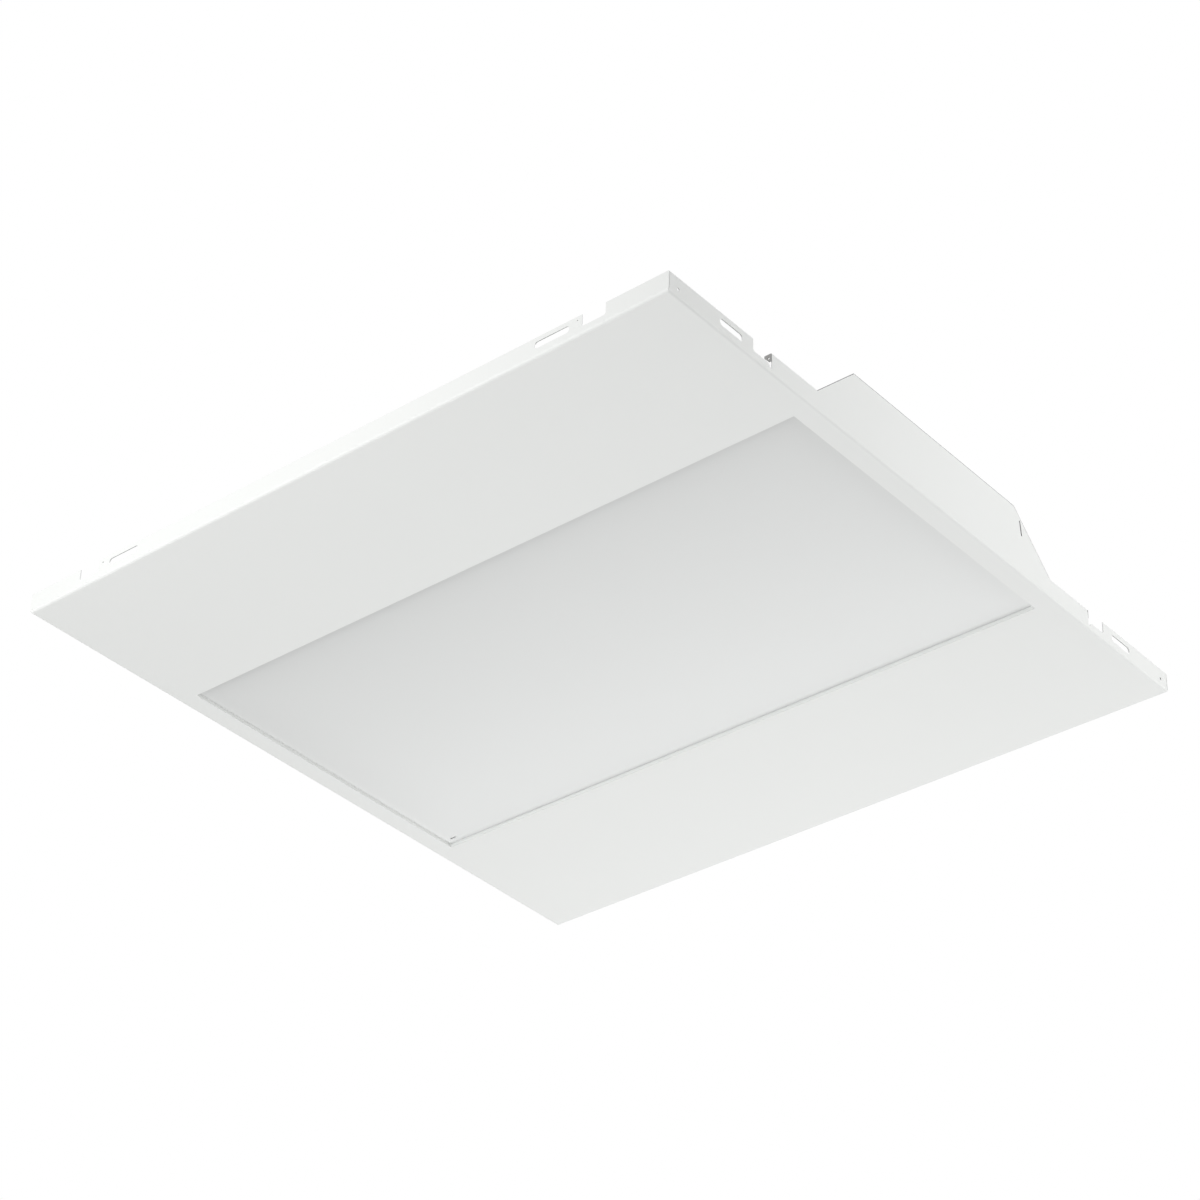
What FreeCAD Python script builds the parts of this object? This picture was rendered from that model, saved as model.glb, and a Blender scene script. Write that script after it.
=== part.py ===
import FreeCAD, Part
import math
import os
import Sketcher
from FreeCAD import Placement, Rotation, Vector

# A recessed troffer light for a 24 in ceiling grid, in millimetres.
# X runs along the lens, Y across it, +Z points up into the ceiling.
# The origin is the middle of the face that looks down into the room.

doc = FreeCAD.newDocument("troffer")
sheet = doc.addObject("Spreadsheet::Sheet", "size")

SIZES = (
    # face pan
    ("plate", 603.0, "side of the square face"),
    ("gauge", 0.7, "steel of the face pan"),
    ("flange", 16.5, "height of the turned-up edge flanges"),
    ("edge_bend", 2.0, "outer radius where a flange turns up"),
    ("opening_long", 569.4, "lens opening along X"),
    ("opening_wide", 291.4, "lens opening along Y"),
    ("lip", 3.0, "top of the lip round the lens opening"),
    ("lip_bend", 0.5, "radius where the lip turns up"),
    ("seam", 0.4, "gap between flanges at a corner"),
    ("seam_start", 2.6, "height where the corner gap starts"),
    ("side_notch_place", 239.0, "middle of a side flange's notch from the centre"),
    ("side_notch_wide", 20.0, "width of that notch"),
    ("end_notch_place", 202.2, "middle of an end flange's notch from the centre"),
    ("end_notch_wide", 20.4, "width of that notch"),
    ("notch_floor", 6.5, "height of the bottom of every notch"),
    ("notch_corner", 2.0, "radius in the bottom corners of a notch"),
    ("notch_shoulder", 3.5, "radius at the top of a flange beside an end notch"),
    ("side_slot_place", 203.0, "middle of a side flange's slot from the centre"),
    ("side_slot_long", 30.0, "length of that slot"),
    ("side_slot_height", 10.0, "height of its middle"),
    ("end_slot_place", 236.0, "middle of an end flange's slot from the centre"),
    ("end_slot_long", 24.0, "length of that slot"),
    ("end_slot_height", 9.0, "height of its middle"),
    ("slot_wide", 5.5, "width of every flange slot"),
    ("corner_hole", 2.5, "hole near the end of an end flange"),
    ("corner_hole_inset", 10.0, "its distance from the corner"),
    ("corner_hole_height", 7.0, "its height"),
    ("pin_hole", 1.2, "small hole beside a side notch"),
    ("pin_hole_place", 225.0, "its distance from the centre"),
    ("pin_hole_height", 13.0, "its height"),
    # end walls of the housing, one sheet with the end flanges
    ("rise", 58.0, "height of the housing's top face"),
    ("top_width", 197.0, "width of the housing at its top"),
    ("base_width", 284.0, "width of the housing at the top of the flanges"),
    ("tab_depth", 10.0, "how far the end walls' tabs reach under the shell"),
    ("tab_start", 24.0, "height where the slanted tabs start"),
    ("tab_relief", 6.0, "gap between the top tab and a slanted tab"),
    ("relief_wide", 1.2, "width of the relief slot beside a slanted tab"),
    ("relief_place", 105.0, "its upper end from the centre"),
    ("relief_lean", 1.5, "how far its lower end lies outside the upper end"),
    ("relief_top", 47.9, "height of its upper end"),
    ("relief_floor", 35.4, "height of its lower end"),
    # grid ears
    ("ear_reach", 5.4, "length of an ear from its bend"),
    ("ear_tall", 6.2, "height of an ear"),
    ("ear_hole", 1.8, "hole in an ear"),
    ("ear_hole_place", 1.9, "its distance from the bend"),
    ("ear_hole_height", 2.9, "its height over the ear's lower edge"),
    ("ear_slant", 3.6, "slanted lower corner of an ear, along its length"),
    ("ear_slant_tall", 4.2, "height of that corner"),
    ("ear_gap", 0.1, "gap between the ear's bend and the flange"),
    ("ear_relief_wide", 2.4, "width of the cut below an ear's bend"),
    ("ear_relief_floor", 3.9, "height of its bottom"),
    # housing shell
    ("shell_gauge", 0.6, "steel of the housing shell"),
    ("shell_bend", 1.6, "outer radius of the shell's bends"),
    ("shell_foot", 12.0, "width of the feet on the pan"),
    ("shell_end_gap", 0.1, "how far the shell stops short of the end walls' faces"),
    ("flange_gap", 0.2, "gap between the shell and the end flanges"),
    # sheet metal screws
    ("screw_shank", 3.0, "thread diameter of the sheet metal screws"),
    ("screw_head", 6.0, "their head diameter"),
    ("screw_head_tall", 1.8, "their head height"),
    ("screw_fit", 0.1, "radial clearance round a screw"),
    ("screw_tip", 4.0, "how far a screw reaches past its sheets"),
    ("top_screw_pitch", 62.0, "spacing of the screws on the shell's top"),
    ("driver_socket", 1.1, "depth of the cross recess"),
    ("socket_long", 3.6, "length of each bar of that cross"),
    ("socket_wide", 0.84, "its width"),
    # lens
    ("lens_thick", 2.0, "acrylic sheet"),
    ("lens_lap", 3.8, "how far the lens laps over the lip on each side"),
    ("lens_slot_long", 6.0, "small slot in one corner of the lens"),
    ("lens_slot_wide", 1.6, "its width"),
    ("lens_slot_inset_x", 8.5, "its middle from the opening's end"),
    ("lens_slot_inset_y", 6.5, "its middle from the opening's side"),
    # light boards
    ("board_end_gap", 15.8, "from a light board's end to the end wall's tabs"),
    ("board_wide", 20.0, "its width"),
    ("board_thick", 1.2, "its thickness"),
    ("board_pitch", 45.0, "spacing of the boards across the housing"),
    ("board_screw_step", 8, "chips between a board's middle screw and an outer one"),
    ("board_screw_tip", 1.4, "how far these screws show above the shell"),
    ("chip_long", 3.5, "a light chip along X"),
    ("chip_wide", 2.8, "its width"),
    ("chip_thick", 0.7, "its thickness"),
    ("chip_end_gap", 28.0, "from the middle of the last chip to the board's end"),
    ("chip_count", 20, "chips on a board"),
    ("plug_long", 8.0, "a board connector along X"),
    ("plug_wide", 7.0, "its width"),
    ("plug_thick", 4.0, "its thickness"),
    ("plug_inset", 9.0, "its middle from the board's end"),
    # wiring compartment beside the housing
    ("box_half", 160.0, "half length of the compartment"),
    ("box_room", 22.0, "from the driver to the outer face of its long wall"),
    ("box_rise", 44.0, "height of its cover's top face"),
    ("box_gauge", 0.7, "its steel"),
    ("box_foot", 10.0, "width of its foot on the pan"),
    ("box_gap", 0.2, "gap under the closed cover and beside the slope"),
    ("box_ledge", 9.0, "width of the ledges and fixing flanges"),
    ("box_ledge_floor", 14.0, "height where the fixing flanges start"),
    ("knockout", 22.2, "diameter of a cable knockout"),
    ("knockout_cut", 0.3, "width of the cut round it"),
    ("knockout_bridge", 1.6, "width of the two bridges that hold it"),
    ("knockout_height", 20.0, "height of its middle"),
    ("knockout_inset", 42.0, "its middle from the compartment's end"),
    ("pin_radius", 1.5, "hinge pin"),
    ("pin_fit", 0.06, "radial clearance round the hinge pin"),
    ("knuckle_wall", 0.74, "wall of a hinge knuckle"),
    ("hinge_inset", 20.0, "from the hinge's end to the compartment's end"),
    ("knuckle_gap", 0.5, "gap beside a knuckle"),
    ("latch_inset", 10.8, "cover screw from the slope"),
    ("latch_half", 14.0, "half width of the latch bracket"),
    ("latch_ledge", 20.0, "how far its ledge reaches"),
    ("latch_leg", 12.0, "height of its leg on the slope"),
    ("latch_gauge", 1.0, "its steel"),
    ("latch_hole_fit", 0.3, "radial clearance of the cover screw in the bracket"),
    ("cover_screw_shank", 2.2, "shank radius of the quarter-turn screw"),
    ("cover_screw_fit", 0.06, "its radial clearance in the cover"),
    ("cover_screw_head", 5.0, "head radius"),
    ("cover_screw_head_tall", 2.2, "head height"),
    ("cover_screw_slot", 1.4, "width of its coin slot"),
    ("cover_screw_reach", 4.0, "shank below the cover's top face"),
    ("cover_gap", 1.0, "gap between the cover's edge and the slope"),
    # lead bushing in the slope
    ("bushing_inset", 20.0, "bushing from the compartment's end"),
    ("bushing_height", 30.0, "height of its middle"),
    ("bushing_bore", 5.0, "bore radius"),
    ("bushing_neck", 7.0, "radius inside the hole"),
    ("bushing_rim", 9.0, "rim radius"),
    ("bushing_rim_thick", 1.6, "rim thickness"),
    ("bushing_fit", 0.05, "radial clearance in the hole"),
    # driver
    ("driver_room_low", 85.0, "from the driver to the compartment's low end"),
    ("driver_room_high", 75.0, "from the driver to the compartment's high end"),
    ("driver_gap", 9.4, "from the driver to the shell's foot"),
    ("driver_wide", 60.0, "its width"),
    ("driver_tall", 28.0, "its height"),
    ("driver_gauge", 1.0, "its steel"),
    ("driver_ear", 13.0, "length of its fixing ears"),
    ("driver_fit", 0.1, "gap between its case and its cover"),
    ("driver_board_gap", 3.5, "height of the standoffs"),
    ("driver_board_thick", 1.6, "its circuit board"),
    ("driver_board_inset", 3.0, "board edge from the driver's outside"),
    ("standoff", 2.5, "standoff radius"),
    ("transformer_long", 28.0, "the transformer's core along X"),
    ("transformer_wide", 26.0, "its width"),
    ("transformer_tall", 18.0, "its height"),
    ("transformer_share", 0.622, "share of the free room between the cans before it"),
    ("transformer_side", 16.0, "its near side from the driver's"),
    ("coil_radius", 8.6, "the transformer's winding"),
    ("coil_long", 36.0, "the winding along Y"),
    ("large_can_radius", 8.0, "the largest capacitor"),
    ("large_can_tall", 20.0, "its height"),
    ("small_can_radius", 5.0, "the smaller capacitors"),
    ("small_can_tall", 13.0, "their height"),
    ("can_inset", 33.0, "capacitors from the driver's ends"),
    ("can_side", 15.0, "capacitors from the driver's far side"),
    ("can_pitch", 24.0, "spacing of the smaller capacitors across the board"),
    ("can_step", 14.4, "their spacing along the board"),
    ("choke_ring", 7.5, "middle radius of the choke"),
    ("choke_thick", 3.6, "radius of its wound ring"),
    ("choke_side", 20.0, "its middle from the driver's near side"),
    ("terminal_long", 12.0, "a terminal block along X"),
    ("terminal_out", 6.0, "how far it stands out of the driver"),
    ("terminal_wide", 22.0, "its width"),
    ("terminal_tall", 11.0, "its height"),
    ("terminal_place", 23.0, "its middle from the driver's near side"),
    ("stud", 2.0, "radius of the weld studs"),
    ("stud_tall", 6.0, "their height over the pan"),
    ("stud_place", 32.0, "the driver's studs from its near side"),
    ("nut_flats", 7.0, "width across flats of the nuts"),
    ("nut_tall", 3.0, "their height"),
    ("nut_fit", 0.05, "radial clearance on the studs"),
    ("ground_inset", 44.0, "ground stud from the compartment's high end"),
    ("ground_side", 56.0, "ground stud from the driver's near side"),
    # wiring
    ("thin_lead", 1.1, "radius of a low-voltage lead"),
    ("thick_lead", 1.3, "radius of a supply lead"),
    ("ring_radius", 4.5, "ring terminal on the ground stud"),
    ("ring_thick", 0.8, "its thickness"),
    ("barrel_long", 6.0, "its crimped barrel"),
    ("barrel_wall", 0.4, "wall of the barrel"),
    ("connector_long", 18.0, "a push-in wire connector along Y"),
    ("connector_wide", 10.0, "its width"),
    ("connector_tall", 8.0, "its height"),
)

for row, (alias, value, meaning) in enumerate(SIZES, 1):
    sheet.set(f"A{row}", meaning)
    sheet.set(f"B{row}", str(value))
    sheet.setAlias(f"B{row}", alias)
doc.recompute()

nodes = {}

HALF = "(size.plate / 2)"
INNER = f"({HALF} - size.gauge)"
SLOPE = "((size.base_width - size.top_width) / 2 / (size.rise - size.flange))"


def worth(text):
    """The number that an expression comes to."""
    value = sheet.evalExpression(str(text))
    return float(getattr(value, "Value", value))


def slope(height):
    """Distance from the middle to the housing's slanted face at a height."""
    return f"(size.base_width / 2 + (size.flange - ({height})) * {SLOPE})"


def slant(thickness):
    """A thickness square to the slanted face, measured along Y."""
    return f"(({thickness}) * sqrt(1 + {SLOPE} ^ 2))"


PAN_BACK = "size.gauge"
SHELL_FOOT_END = f"({slope(PAN_BACK)} + size.shell_foot)"
DRIVER_SIDE = f"({SHELL_FOOT_END} + size.driver_gap)"
DRIVER_START = "(size.driver_room_low - size.box_half)"
DRIVER_END = "(size.box_half - size.driver_room_high)"
DRIVER_LONG = f"({DRIVER_END} - {DRIVER_START})"
BOX_WALL = f"({DRIVER_SIDE} + size.driver_wide + size.box_room)"
BUSHING_X = "(size.bushing_inset - size.box_half)"
HINGE_HALF = "(size.box_half - size.hinge_inset)"
KNOCKOUT_X = "(size.box_half - size.knockout_inset)"
LATCH_Y = f"({slope('size.box_rise')} + size.latch_inset)"
GROUND_X = "(size.box_half - size.ground_inset)"
GROUND_Y = f"({DRIVER_SIDE} + size.ground_side)"


def keep(name, piece):
    """Names a finished piece."""
    piece.Label = name
    nodes[name] = piece
    return piece


def place(piece, base):
    """Puts a piece at a point worked out from the sizes."""
    for letter, text in zip("xyz", base):
        piece.setExpression("Placement.Base." + letter, str(text))
    return piece


def block(name, low, sides):
    """A block from its low corner and its sides."""
    piece = doc.addObject("Part::Box", name)
    for side, text in zip(("Length", "Width", "Height"), sides):
        piece.setExpression(side, str(text))
    return place(piece, low)


TURNS = {
    "x": Rotation(Vector(0, 1, 0), 90),
    "y": Rotation(Vector(1, 0, 0), -90),
    "z": Rotation(),
}


def rod(name, base, axis, radius, length):
    """A round rod from the middle of its low end."""
    piece = doc.addObject("Part::Cylinder", name)
    piece.setExpression("Radius", str(radius))
    piece.setExpression("Height", str(length))
    piece.Placement = Placement(Vector(), TURNS[axis])
    return place(piece, base)


def joined(name, pieces):
    """Several pieces as one."""
    piece = doc.addObject("Part::MultiFuse", name)
    piece.Shapes = pieces
    piece.Refine = True
    return piece


def cut(name, base, tools):
    """A piece with others taken out of it."""
    piece = doc.addObject("Part::Cut", name)
    piece.Base = base
    piece.Tool = tools[0] if len(tools) == 1 else group(name + "_cuts", tools)
    return piece


def group(name, pieces):
    """Separate pieces that share one name."""
    piece = doc.addObject("Part::Compound", name)
    piece.Links = pieces
    return piece


def fix_point(sketch, geometry, corner, point):
    """Ties a drawn point to its place."""
    for kind, text in zip(("DistanceX", "DistanceY"), point):
        rule = Sketcher.Constraint(kind, -1, 1, geometry, corner, worth(text))
        number = sketch.addConstraint(rule)
        sketch.setExpression(f"Constraints[{number}]", str(text))


def draw_outline(sketch, points):
    """A closed outline of straight sides."""
    ends = [Vector(worth(u), worth(v), 0) for u, v in points]
    first = sketch.GeometryCount
    count = len(points)
    for i in range(count):
        sketch.addGeometry(Part.LineSegment(ends[i], ends[(i + 1) % count]))
    for i in range(count):
        following = first + (i + 1) % count
        sketch.addConstraint(Sketcher.Constraint("Coincident", first + i, 2, following, 1))
    for i, point in enumerate(points):
        fix_point(sketch, first + i, 1, point)


def draw_circle(sketch, middle, radius):
    """A round hole."""
    centre = Vector(worth(middle[0]), worth(middle[1]), 0)
    number = sketch.addGeometry(Part.Circle(centre, Vector(0, 0, 1), worth(radius)))
    fix_point(sketch, number, 3, middle)
    rule = sketch.addConstraint(Sketcher.Constraint("Radius", number, worth(radius)))
    sketch.setExpression(f"Constraints[{rule}]", str(radius))


def draw_slot(sketch, middle, length, width):
    """An oblong slot with round ends, along the sketch's first axis."""
    u, v = middle
    low_u = f"{u} - ({length} - {width}) / 2"
    high_u = f"{u} + ({length} - {width}) / 2"
    low_v = f"{v} - {width} / 2"
    high_v = f"{v} + {width} / 2"
    corners = [(low_u, high_v), (high_u, high_v), (high_u, low_v), (low_u, low_v)]
    points = [Vector(worth(a), worth(b), 0) for a, b in corners]
    radius = worth(width) / 2
    first = sketch.GeometryCount
    sketch.addGeometry(Part.LineSegment(points[0], points[1]))
    right = Part.Circle(Vector(worth(high_u), worth(v), 0), Vector(0, 0, 1), radius)
    sketch.addGeometry(Part.ArcOfCircle(right, -math.pi / 2, math.pi / 2))
    sketch.addGeometry(Part.LineSegment(points[2], points[3]))
    left = Part.Circle(Vector(worth(low_u), worth(v), 0), Vector(0, 0, 1), radius)
    sketch.addGeometry(Part.ArcOfCircle(left, math.pi / 2, 3 * math.pi / 2))
    fix_point(sketch, first, 1, corners[0])
    fix_point(sketch, first, 2, corners[1])
    fix_point(sketch, first + 2, 1, corners[2])
    fix_point(sketch, first + 2, 2, corners[3])
    joints = ((first, 2, first + 1, 2), (first + 1, 1, first + 2, 1))
    joints += ((first + 2, 2, first + 3, 2), (first + 3, 1, first, 1))
    for joint in joints:
        sketch.addConstraint(Sketcher.Constraint("Coincident", *joint))
    for arc, u_text in ((first + 1, high_u), (first + 3, low_u)):
        rule = Sketcher.Constraint("DistanceX", -1, 1, arc, 3, worth(u_text))
        number = sketch.addConstraint(rule)
        sketch.setExpression(f"Constraints[{number}]", u_text)


def sketch_on(body, name, plane, height):
    """A drawing on one of a body's own planes, at a height over it."""
    sketch = body.newObject("Sketcher::SketchObject", name)
    for item in body.Origin.OriginFeatures:
        if item.Role == plane + "_Plane":
            sketch.AttachmentSupport = [(item, "")]
    sketch.MapMode = "FlatFace"
    sketch.setExpression("AttachmentOffset.Base.z", str(height))
    return sketch


def feature(body, kind, name, sketch, length, symmetric=False):
    """A pad or a pocket of a drawing."""
    piece = body.newObject("PartDesign::" + kind, name)
    piece.Profile = sketch
    piece.SideType = "Symmetric" if symmetric else "One side"
    piece.setExpression("Length", str(length))
    sketch.Visibility = False
    doc.recompute()
    return piece


def start_of(plane, low, thick):
    """Where a drawing lies so that its pad runs from low to low + thick."""
    if plane == "XZ":
        return f"-(({low}) + ({thick}))"
    return low


def prism(name, plane, low, thick, outlines, holes=()):
    """A flat piece: outlines on a plane, given a thickness along its normal."""
    body = doc.addObject("PartDesign::Body", name)
    sketch = sketch_on(body, name + "_outline", plane, start_of(plane, low, thick))
    for points in outlines:
        draw_outline(sketch, points)
    for middle, radius in holes:
        draw_circle(sketch, middle, radius)
    feature(body, "Pad", name + "_pad", sketch, thick)
    return body


def rectangle(half_u, half_v):
    """A rectangle about the middle."""
    return [
        (f"-({half_u})", f"-({half_v})"),
        (half_u, f"-({half_v})"),
        (half_u, half_v),
        (f"-({half_u})", half_v),
    ]


def span(low_u, high_u, low_v, high_v):
    """A rectangle between two corners."""
    return [(low_u, low_v), (high_u, low_v), (high_u, high_v), (low_u, high_v)]


def round_edges(body, name, radius, wanted):
    """Rounds the edges that a test picks out."""
    base = body.Tip
    names = []
    for number, edge in enumerate(base.Shape.Edges, 1):
        if wanted(edge):
            names.append(f"Edge{number}")
    piece = body.newObject("PartDesign::Fillet", name)
    piece.Base = (base, names)
    piece.setExpression("Radius", str(radius))
    doc.recompute()
    return piece


def near(value, text):
    """Whether a number is the one that an expression gives."""
    return abs(value - worth(text)) < 1e-4


def lies_at(edge, height):
    """Whether an edge lies flat at a height."""
    return near(edge.BoundBox.ZMin, height) and near(edge.BoundBox.ZMax, height)


# Face pan: one sheet of steel with the lens opening, four flanges and two end walls.

EAR_SIDE = "(size.end_notch_place - size.end_notch_wide / 2)"


def flange_cuts(body):
    """The slots, notches and holes that go through the four flanges."""
    side = sketch_on(body, "side_flange_cuts", "XZ", "0")
    for sign in (-1, 1):
        middle = f"{sign} * size.side_notch_place"
        low = f"{middle} - size.side_notch_wide / 2"
        high = f"{middle} + size.side_notch_wide / 2"
        draw_outline(side, span(low, high, "size.notch_floor", "size.flange + 1"))
        slot_middle = (f"{sign} * size.side_slot_place", "size.side_slot_height")
        draw_slot(side, slot_middle, "size.side_slot_long", "size.slot_wide")
        hole_middle = (f"{sign} * size.pin_hole_place", "size.pin_hole_height")
        draw_circle(side, hole_middle, "size.pin_hole / 2")
    feature(body, "Pocket", "side_flange_pocket", side, "size.plate * 2", symmetric=True)
    end = sketch_on(body, "end_flange_cuts", "YZ", "0")
    for sign in (-1, 1):
        near_side = f"{sign} * {EAR_SIDE}"
        relief_side = f"{sign} * ({EAR_SIDE} + size.ear_relief_wide)"
        far_side = f"{sign} * ({EAR_SIDE} + size.end_notch_wide)"
        draw_outline(end, [
            (near_side, "size.ear_relief_floor"),
            (relief_side, "size.ear_relief_floor"),
            (relief_side, "size.notch_floor"),
            (far_side, "size.notch_floor"),
            (far_side, "size.flange + 1"),
            (near_side, "size.flange + 1"),
        ])
        slot_middle = (f"{sign} * size.end_slot_place", "size.end_slot_height")
        draw_slot(end, slot_middle, "size.end_slot_long", "size.slot_wide")
        hole_place = f"{sign} * ({HALF} - size.corner_hole_inset)"
        draw_circle(end, (hole_place, "size.corner_hole_height"), "size.corner_hole / 2")
        seam_low = f"{sign} * ({INNER} - size.seam)"
        seam_high = f"{sign} * {INNER}"
        draw_outline(end, span(seam_low, seam_high, "size.seam_start", "size.flange + 1"))
    feature(body, "Pocket", "end_flange_pocket", end, "size.plate * 2", symmetric=True)


def wall_edge(height):
    """Half width of an end wall at a height, one shell thickness inside the slope."""
    return f"({slope(height)} - {slant('size.shell_gauge')})"


WALL_TOP = "(size.rise - size.shell_gauge)"


def end_walls(body):
    """The two trapezium end walls and the tabs that turn in under the shell."""
    tab_floor = f"({WALL_TOP} - size.gauge)"
    slant_top = f"({WALL_TOP} - size.tab_relief)"
    inner_edge = slant("size.gauge")
    for sign, side in ((-1, "low"), (1, "high")):
        wall_low = INNER if sign > 0 else f"-{HALF}"
        wall = sketch_on(body, f"{side}_wall_outline", "YZ", wall_low)
        base = wall_edge("size.flange")
        top = wall_edge(WALL_TOP)
        draw_outline(wall, [
            (f"-{base}", "size.edge_bend"),
            (base, "size.edge_bend"),
            (base, "size.flange"),
            (top, WALL_TOP),
            (f"-{top}", WALL_TOP),
            (f"-{base}", "size.flange"),
        ])
        feature(body, "Pad", f"{side}_wall", wall, "size.gauge")
        tab_low = f"{INNER} - size.tab_depth" if sign > 0 else f"-{HALF}"
        tabs = sketch_on(body, f"{side}_tab_outline", "YZ", tab_low)
        reach = f"({top} - size.tab_relief)"
        draw_outline(tabs, span(f"-{reach}", reach, tab_floor, WALL_TOP))
        for way in (-1, 1):
            draw_outline(tabs, [
                (f"{way} * {wall_edge('size.tab_start')}", "size.tab_start"),
                (f"{way} * {wall_edge(slant_top)}", slant_top),
                (f"{way} * ({wall_edge(slant_top)} - {inner_edge})", slant_top),
                (f"{way} * ({wall_edge('size.tab_start')} - {inner_edge})", "size.tab_start"),
            ])
        feature(body, "Pad", f"{side}_tabs", tabs, "size.tab_depth + size.gauge")


def tab_cuts(body):
    """A relief slot on each end wall's +Y side, and screw holes in the top tabs."""
    relief = sketch_on(body, "relief_outline", "YZ", "0")
    half = "size.relief_wide / 2"
    upper = "size.relief_place"
    lower = "(size.relief_place + size.relief_lean)"
    draw_outline(relief, [
        (f"{upper} - {half}", "size.relief_top"),
        (f"{upper} + {half}", "size.relief_top"),
        (f"{lower} + {half}", "size.relief_floor"),
        (f"{lower} - {half}", "size.relief_floor"),
    ])
    feature(body, "Pocket", "relief_slots", relief, "size.plate * 2", symmetric=True)
    holes = sketch_on(body, "tab_hole_outline", "XY", "size.rise")
    for x, y in top_screw_places():
        draw_circle(holes, (x, y), "size.screw_shank / 2 + size.screw_fit")
    feature(body, "Pocket", "tab_holes", holes, "size.shell_gauge + size.gauge * 2")


def top_screw_places():
    """The six screws that hold the shell down on the end walls' tabs."""
    places = []
    for sign in (-1, 1):
        for step in (-1, 0, 1):
            x = f"{sign} * ({INNER} - size.tab_depth / 2)"
            places.append((x, f"{step} * size.top_screw_pitch"))
    return places


def face_pan():
    """The square face with its flanges, lens opening and end walls."""
    body = doc.addObject("PartDesign::Body", "face_pan")
    square = sketch_on(body, "face_outline", "XY", "0")
    draw_outline(square, rectangle(HALF, HALF))
    feature(body, "Pad", "face_block", square, "size.flange")
    round_edges(body, "edge_bends", "size.edge_bend", lambda e: lies_at(e, "0"))
    hollow = sketch_on(body, "inside_outline", "XY", "size.flange")
    draw_outline(hollow, rectangle(INNER, INNER))
    feature(body, "Pocket", "inside", hollow, "size.flange - size.gauge")
    inner_bend = "size.edge_bend - size.gauge"
    round_edges(body, "inside_bends", inner_bend, lambda e: lies_at(e, "size.gauge"))
    ring = sketch_on(body, "lip_outline", "XY", "0")
    draw_outline(ring, rectangle(
        "size.opening_long / 2 + size.gauge", "size.opening_wide / 2 + size.gauge"))
    feature(body, "Pad", "lip_block", ring, "size.lip")
    opening = sketch_on(body, "opening_outline", "XY", "size.lip")
    draw_outline(opening, rectangle("size.opening_long / 2", "size.opening_wide / 2"))
    feature(body, "Pocket", "lens_opening", opening, "size.lip")

    def round_the_opening(edge):
        box = edge.BoundBox
        inside = max(abs(box.XMin), abs(box.XMax)) <= worth("size.opening_long / 2") + 1e-4
        return lies_at(edge, "0") and inside

    round_edges(body, "lip_bends", "size.lip_bend", round_the_opening)
    end_walls(body)
    flange_cuts(body)

    def notch_bottom(edge):
        box = edge.BoundBox
        short = edge.Length < worth("size.gauge") * 1.5
        return lies_at(edge, "size.notch_floor") and short and box.ZLength < 1e-4

    round_edges(body, "notch_corners", "size.notch_corner", notch_bottom)

    def notch_shoulder(edge):
        box = edge.BoundBox
        beside = near(box.YMax, EAR_SIDE) and near(box.YMin, EAR_SIDE)
        return beside and lies_at(edge, "size.flange")

    round_edges(body, "notch_shoulders", "size.notch_shoulder", notch_shoulder)

    def wall_corner(edge):
        return lies_at(edge, WALL_TOP) and near(edge.Length, "size.gauge")

    corner_radius = "size.shell_bend - size.shell_gauge + size.flange_gap"
    round_edges(body, "wall_corners", corner_radius, wall_corner)
    tab_cuts(body)
    return keep("face_pan", body)


# Grid ears: small tabs of the end flanges, bent inward beside their notches.

EAR_AXIS_X = f"({HALF} - size.gauge / 2)"
EAR_AXIS_Y = f"({EAR_SIDE} + size.gauge / 2 + size.ear_gap)"


def grid_ear(number, side_x, side_y):
    """One ear: a small plate with a hole, round where it bends."""
    name = f"grid_ear_{number}"
    root = f"{side_x} * {EAR_AXIS_X}"
    tip = f"{side_x} * ({EAR_AXIS_X} - size.ear_reach)"
    corner = f"{side_x} * ({EAR_AXIS_X} - size.ear_reach + size.ear_slant)"
    hole = f"{side_x} * ({EAR_AXIS_X} - size.ear_hole_place)"
    floor = "(size.flange - size.ear_tall)"
    low = f"{side_y} * {EAR_AXIS_Y} - size.gauge / 2"
    outline = [
        (root, floor),
        (corner, floor),
        (tip, f"{floor} + size.ear_slant_tall"),
        (tip, "size.flange"),
        (root, "size.flange"),
    ]
    hole_at = (hole, f"{floor} + size.ear_hole_height")
    blade = prism(
        name + "_blade", "XZ", low, "size.gauge", [outline], [(hole_at, "size.ear_hole / 2")])
    bend_at = (root, f"{side_y} * {EAR_AXIS_Y}", floor)
    bend = rod(name + "_bend", bend_at, "z", "size.gauge / 2", "size.ear_tall")
    return keep(name, joined(name, [blade, bend]))


# Housing shell: a bent channel over the lens, its feet on the pan's back.

def tilted(piece, base):
    """Turns a piece's own axis square to the slope on the +Y side, at a point there."""
    piece.Placement = Placement(Vector(), Rotation(Vector(1, 0, 0), -45))
    piece.setExpression("Placement.Rotation.Angle", f"atan({SLOPE}) - 90 deg")
    return place(piece, base)


BUSHING_AT = (BUSHING_X, slope("size.bushing_height"), "size.bushing_height")


def inward(point, depth):
    """A point at a depth under a point of the slope."""
    norm = f"sqrt(1 + {SLOPE} ^ 2)"
    return (point[0], f"{point[1]} - ({depth}) / {norm}", f"{point[2]} - ({depth}) * {SLOPE} / {norm}")


def slope_screw_places():
    """The four screws that hold the compartment's fixing flanges on the slope."""
    places = []
    for sign in (-1, 1):
        for height in ("(size.box_ledge_floor + 5)", "(size.box_rise - 9)"):
            x = f"{sign} * (size.box_half + size.box_ledge / 2)"
            places.append((x, slope(height), height))
    return places


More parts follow.
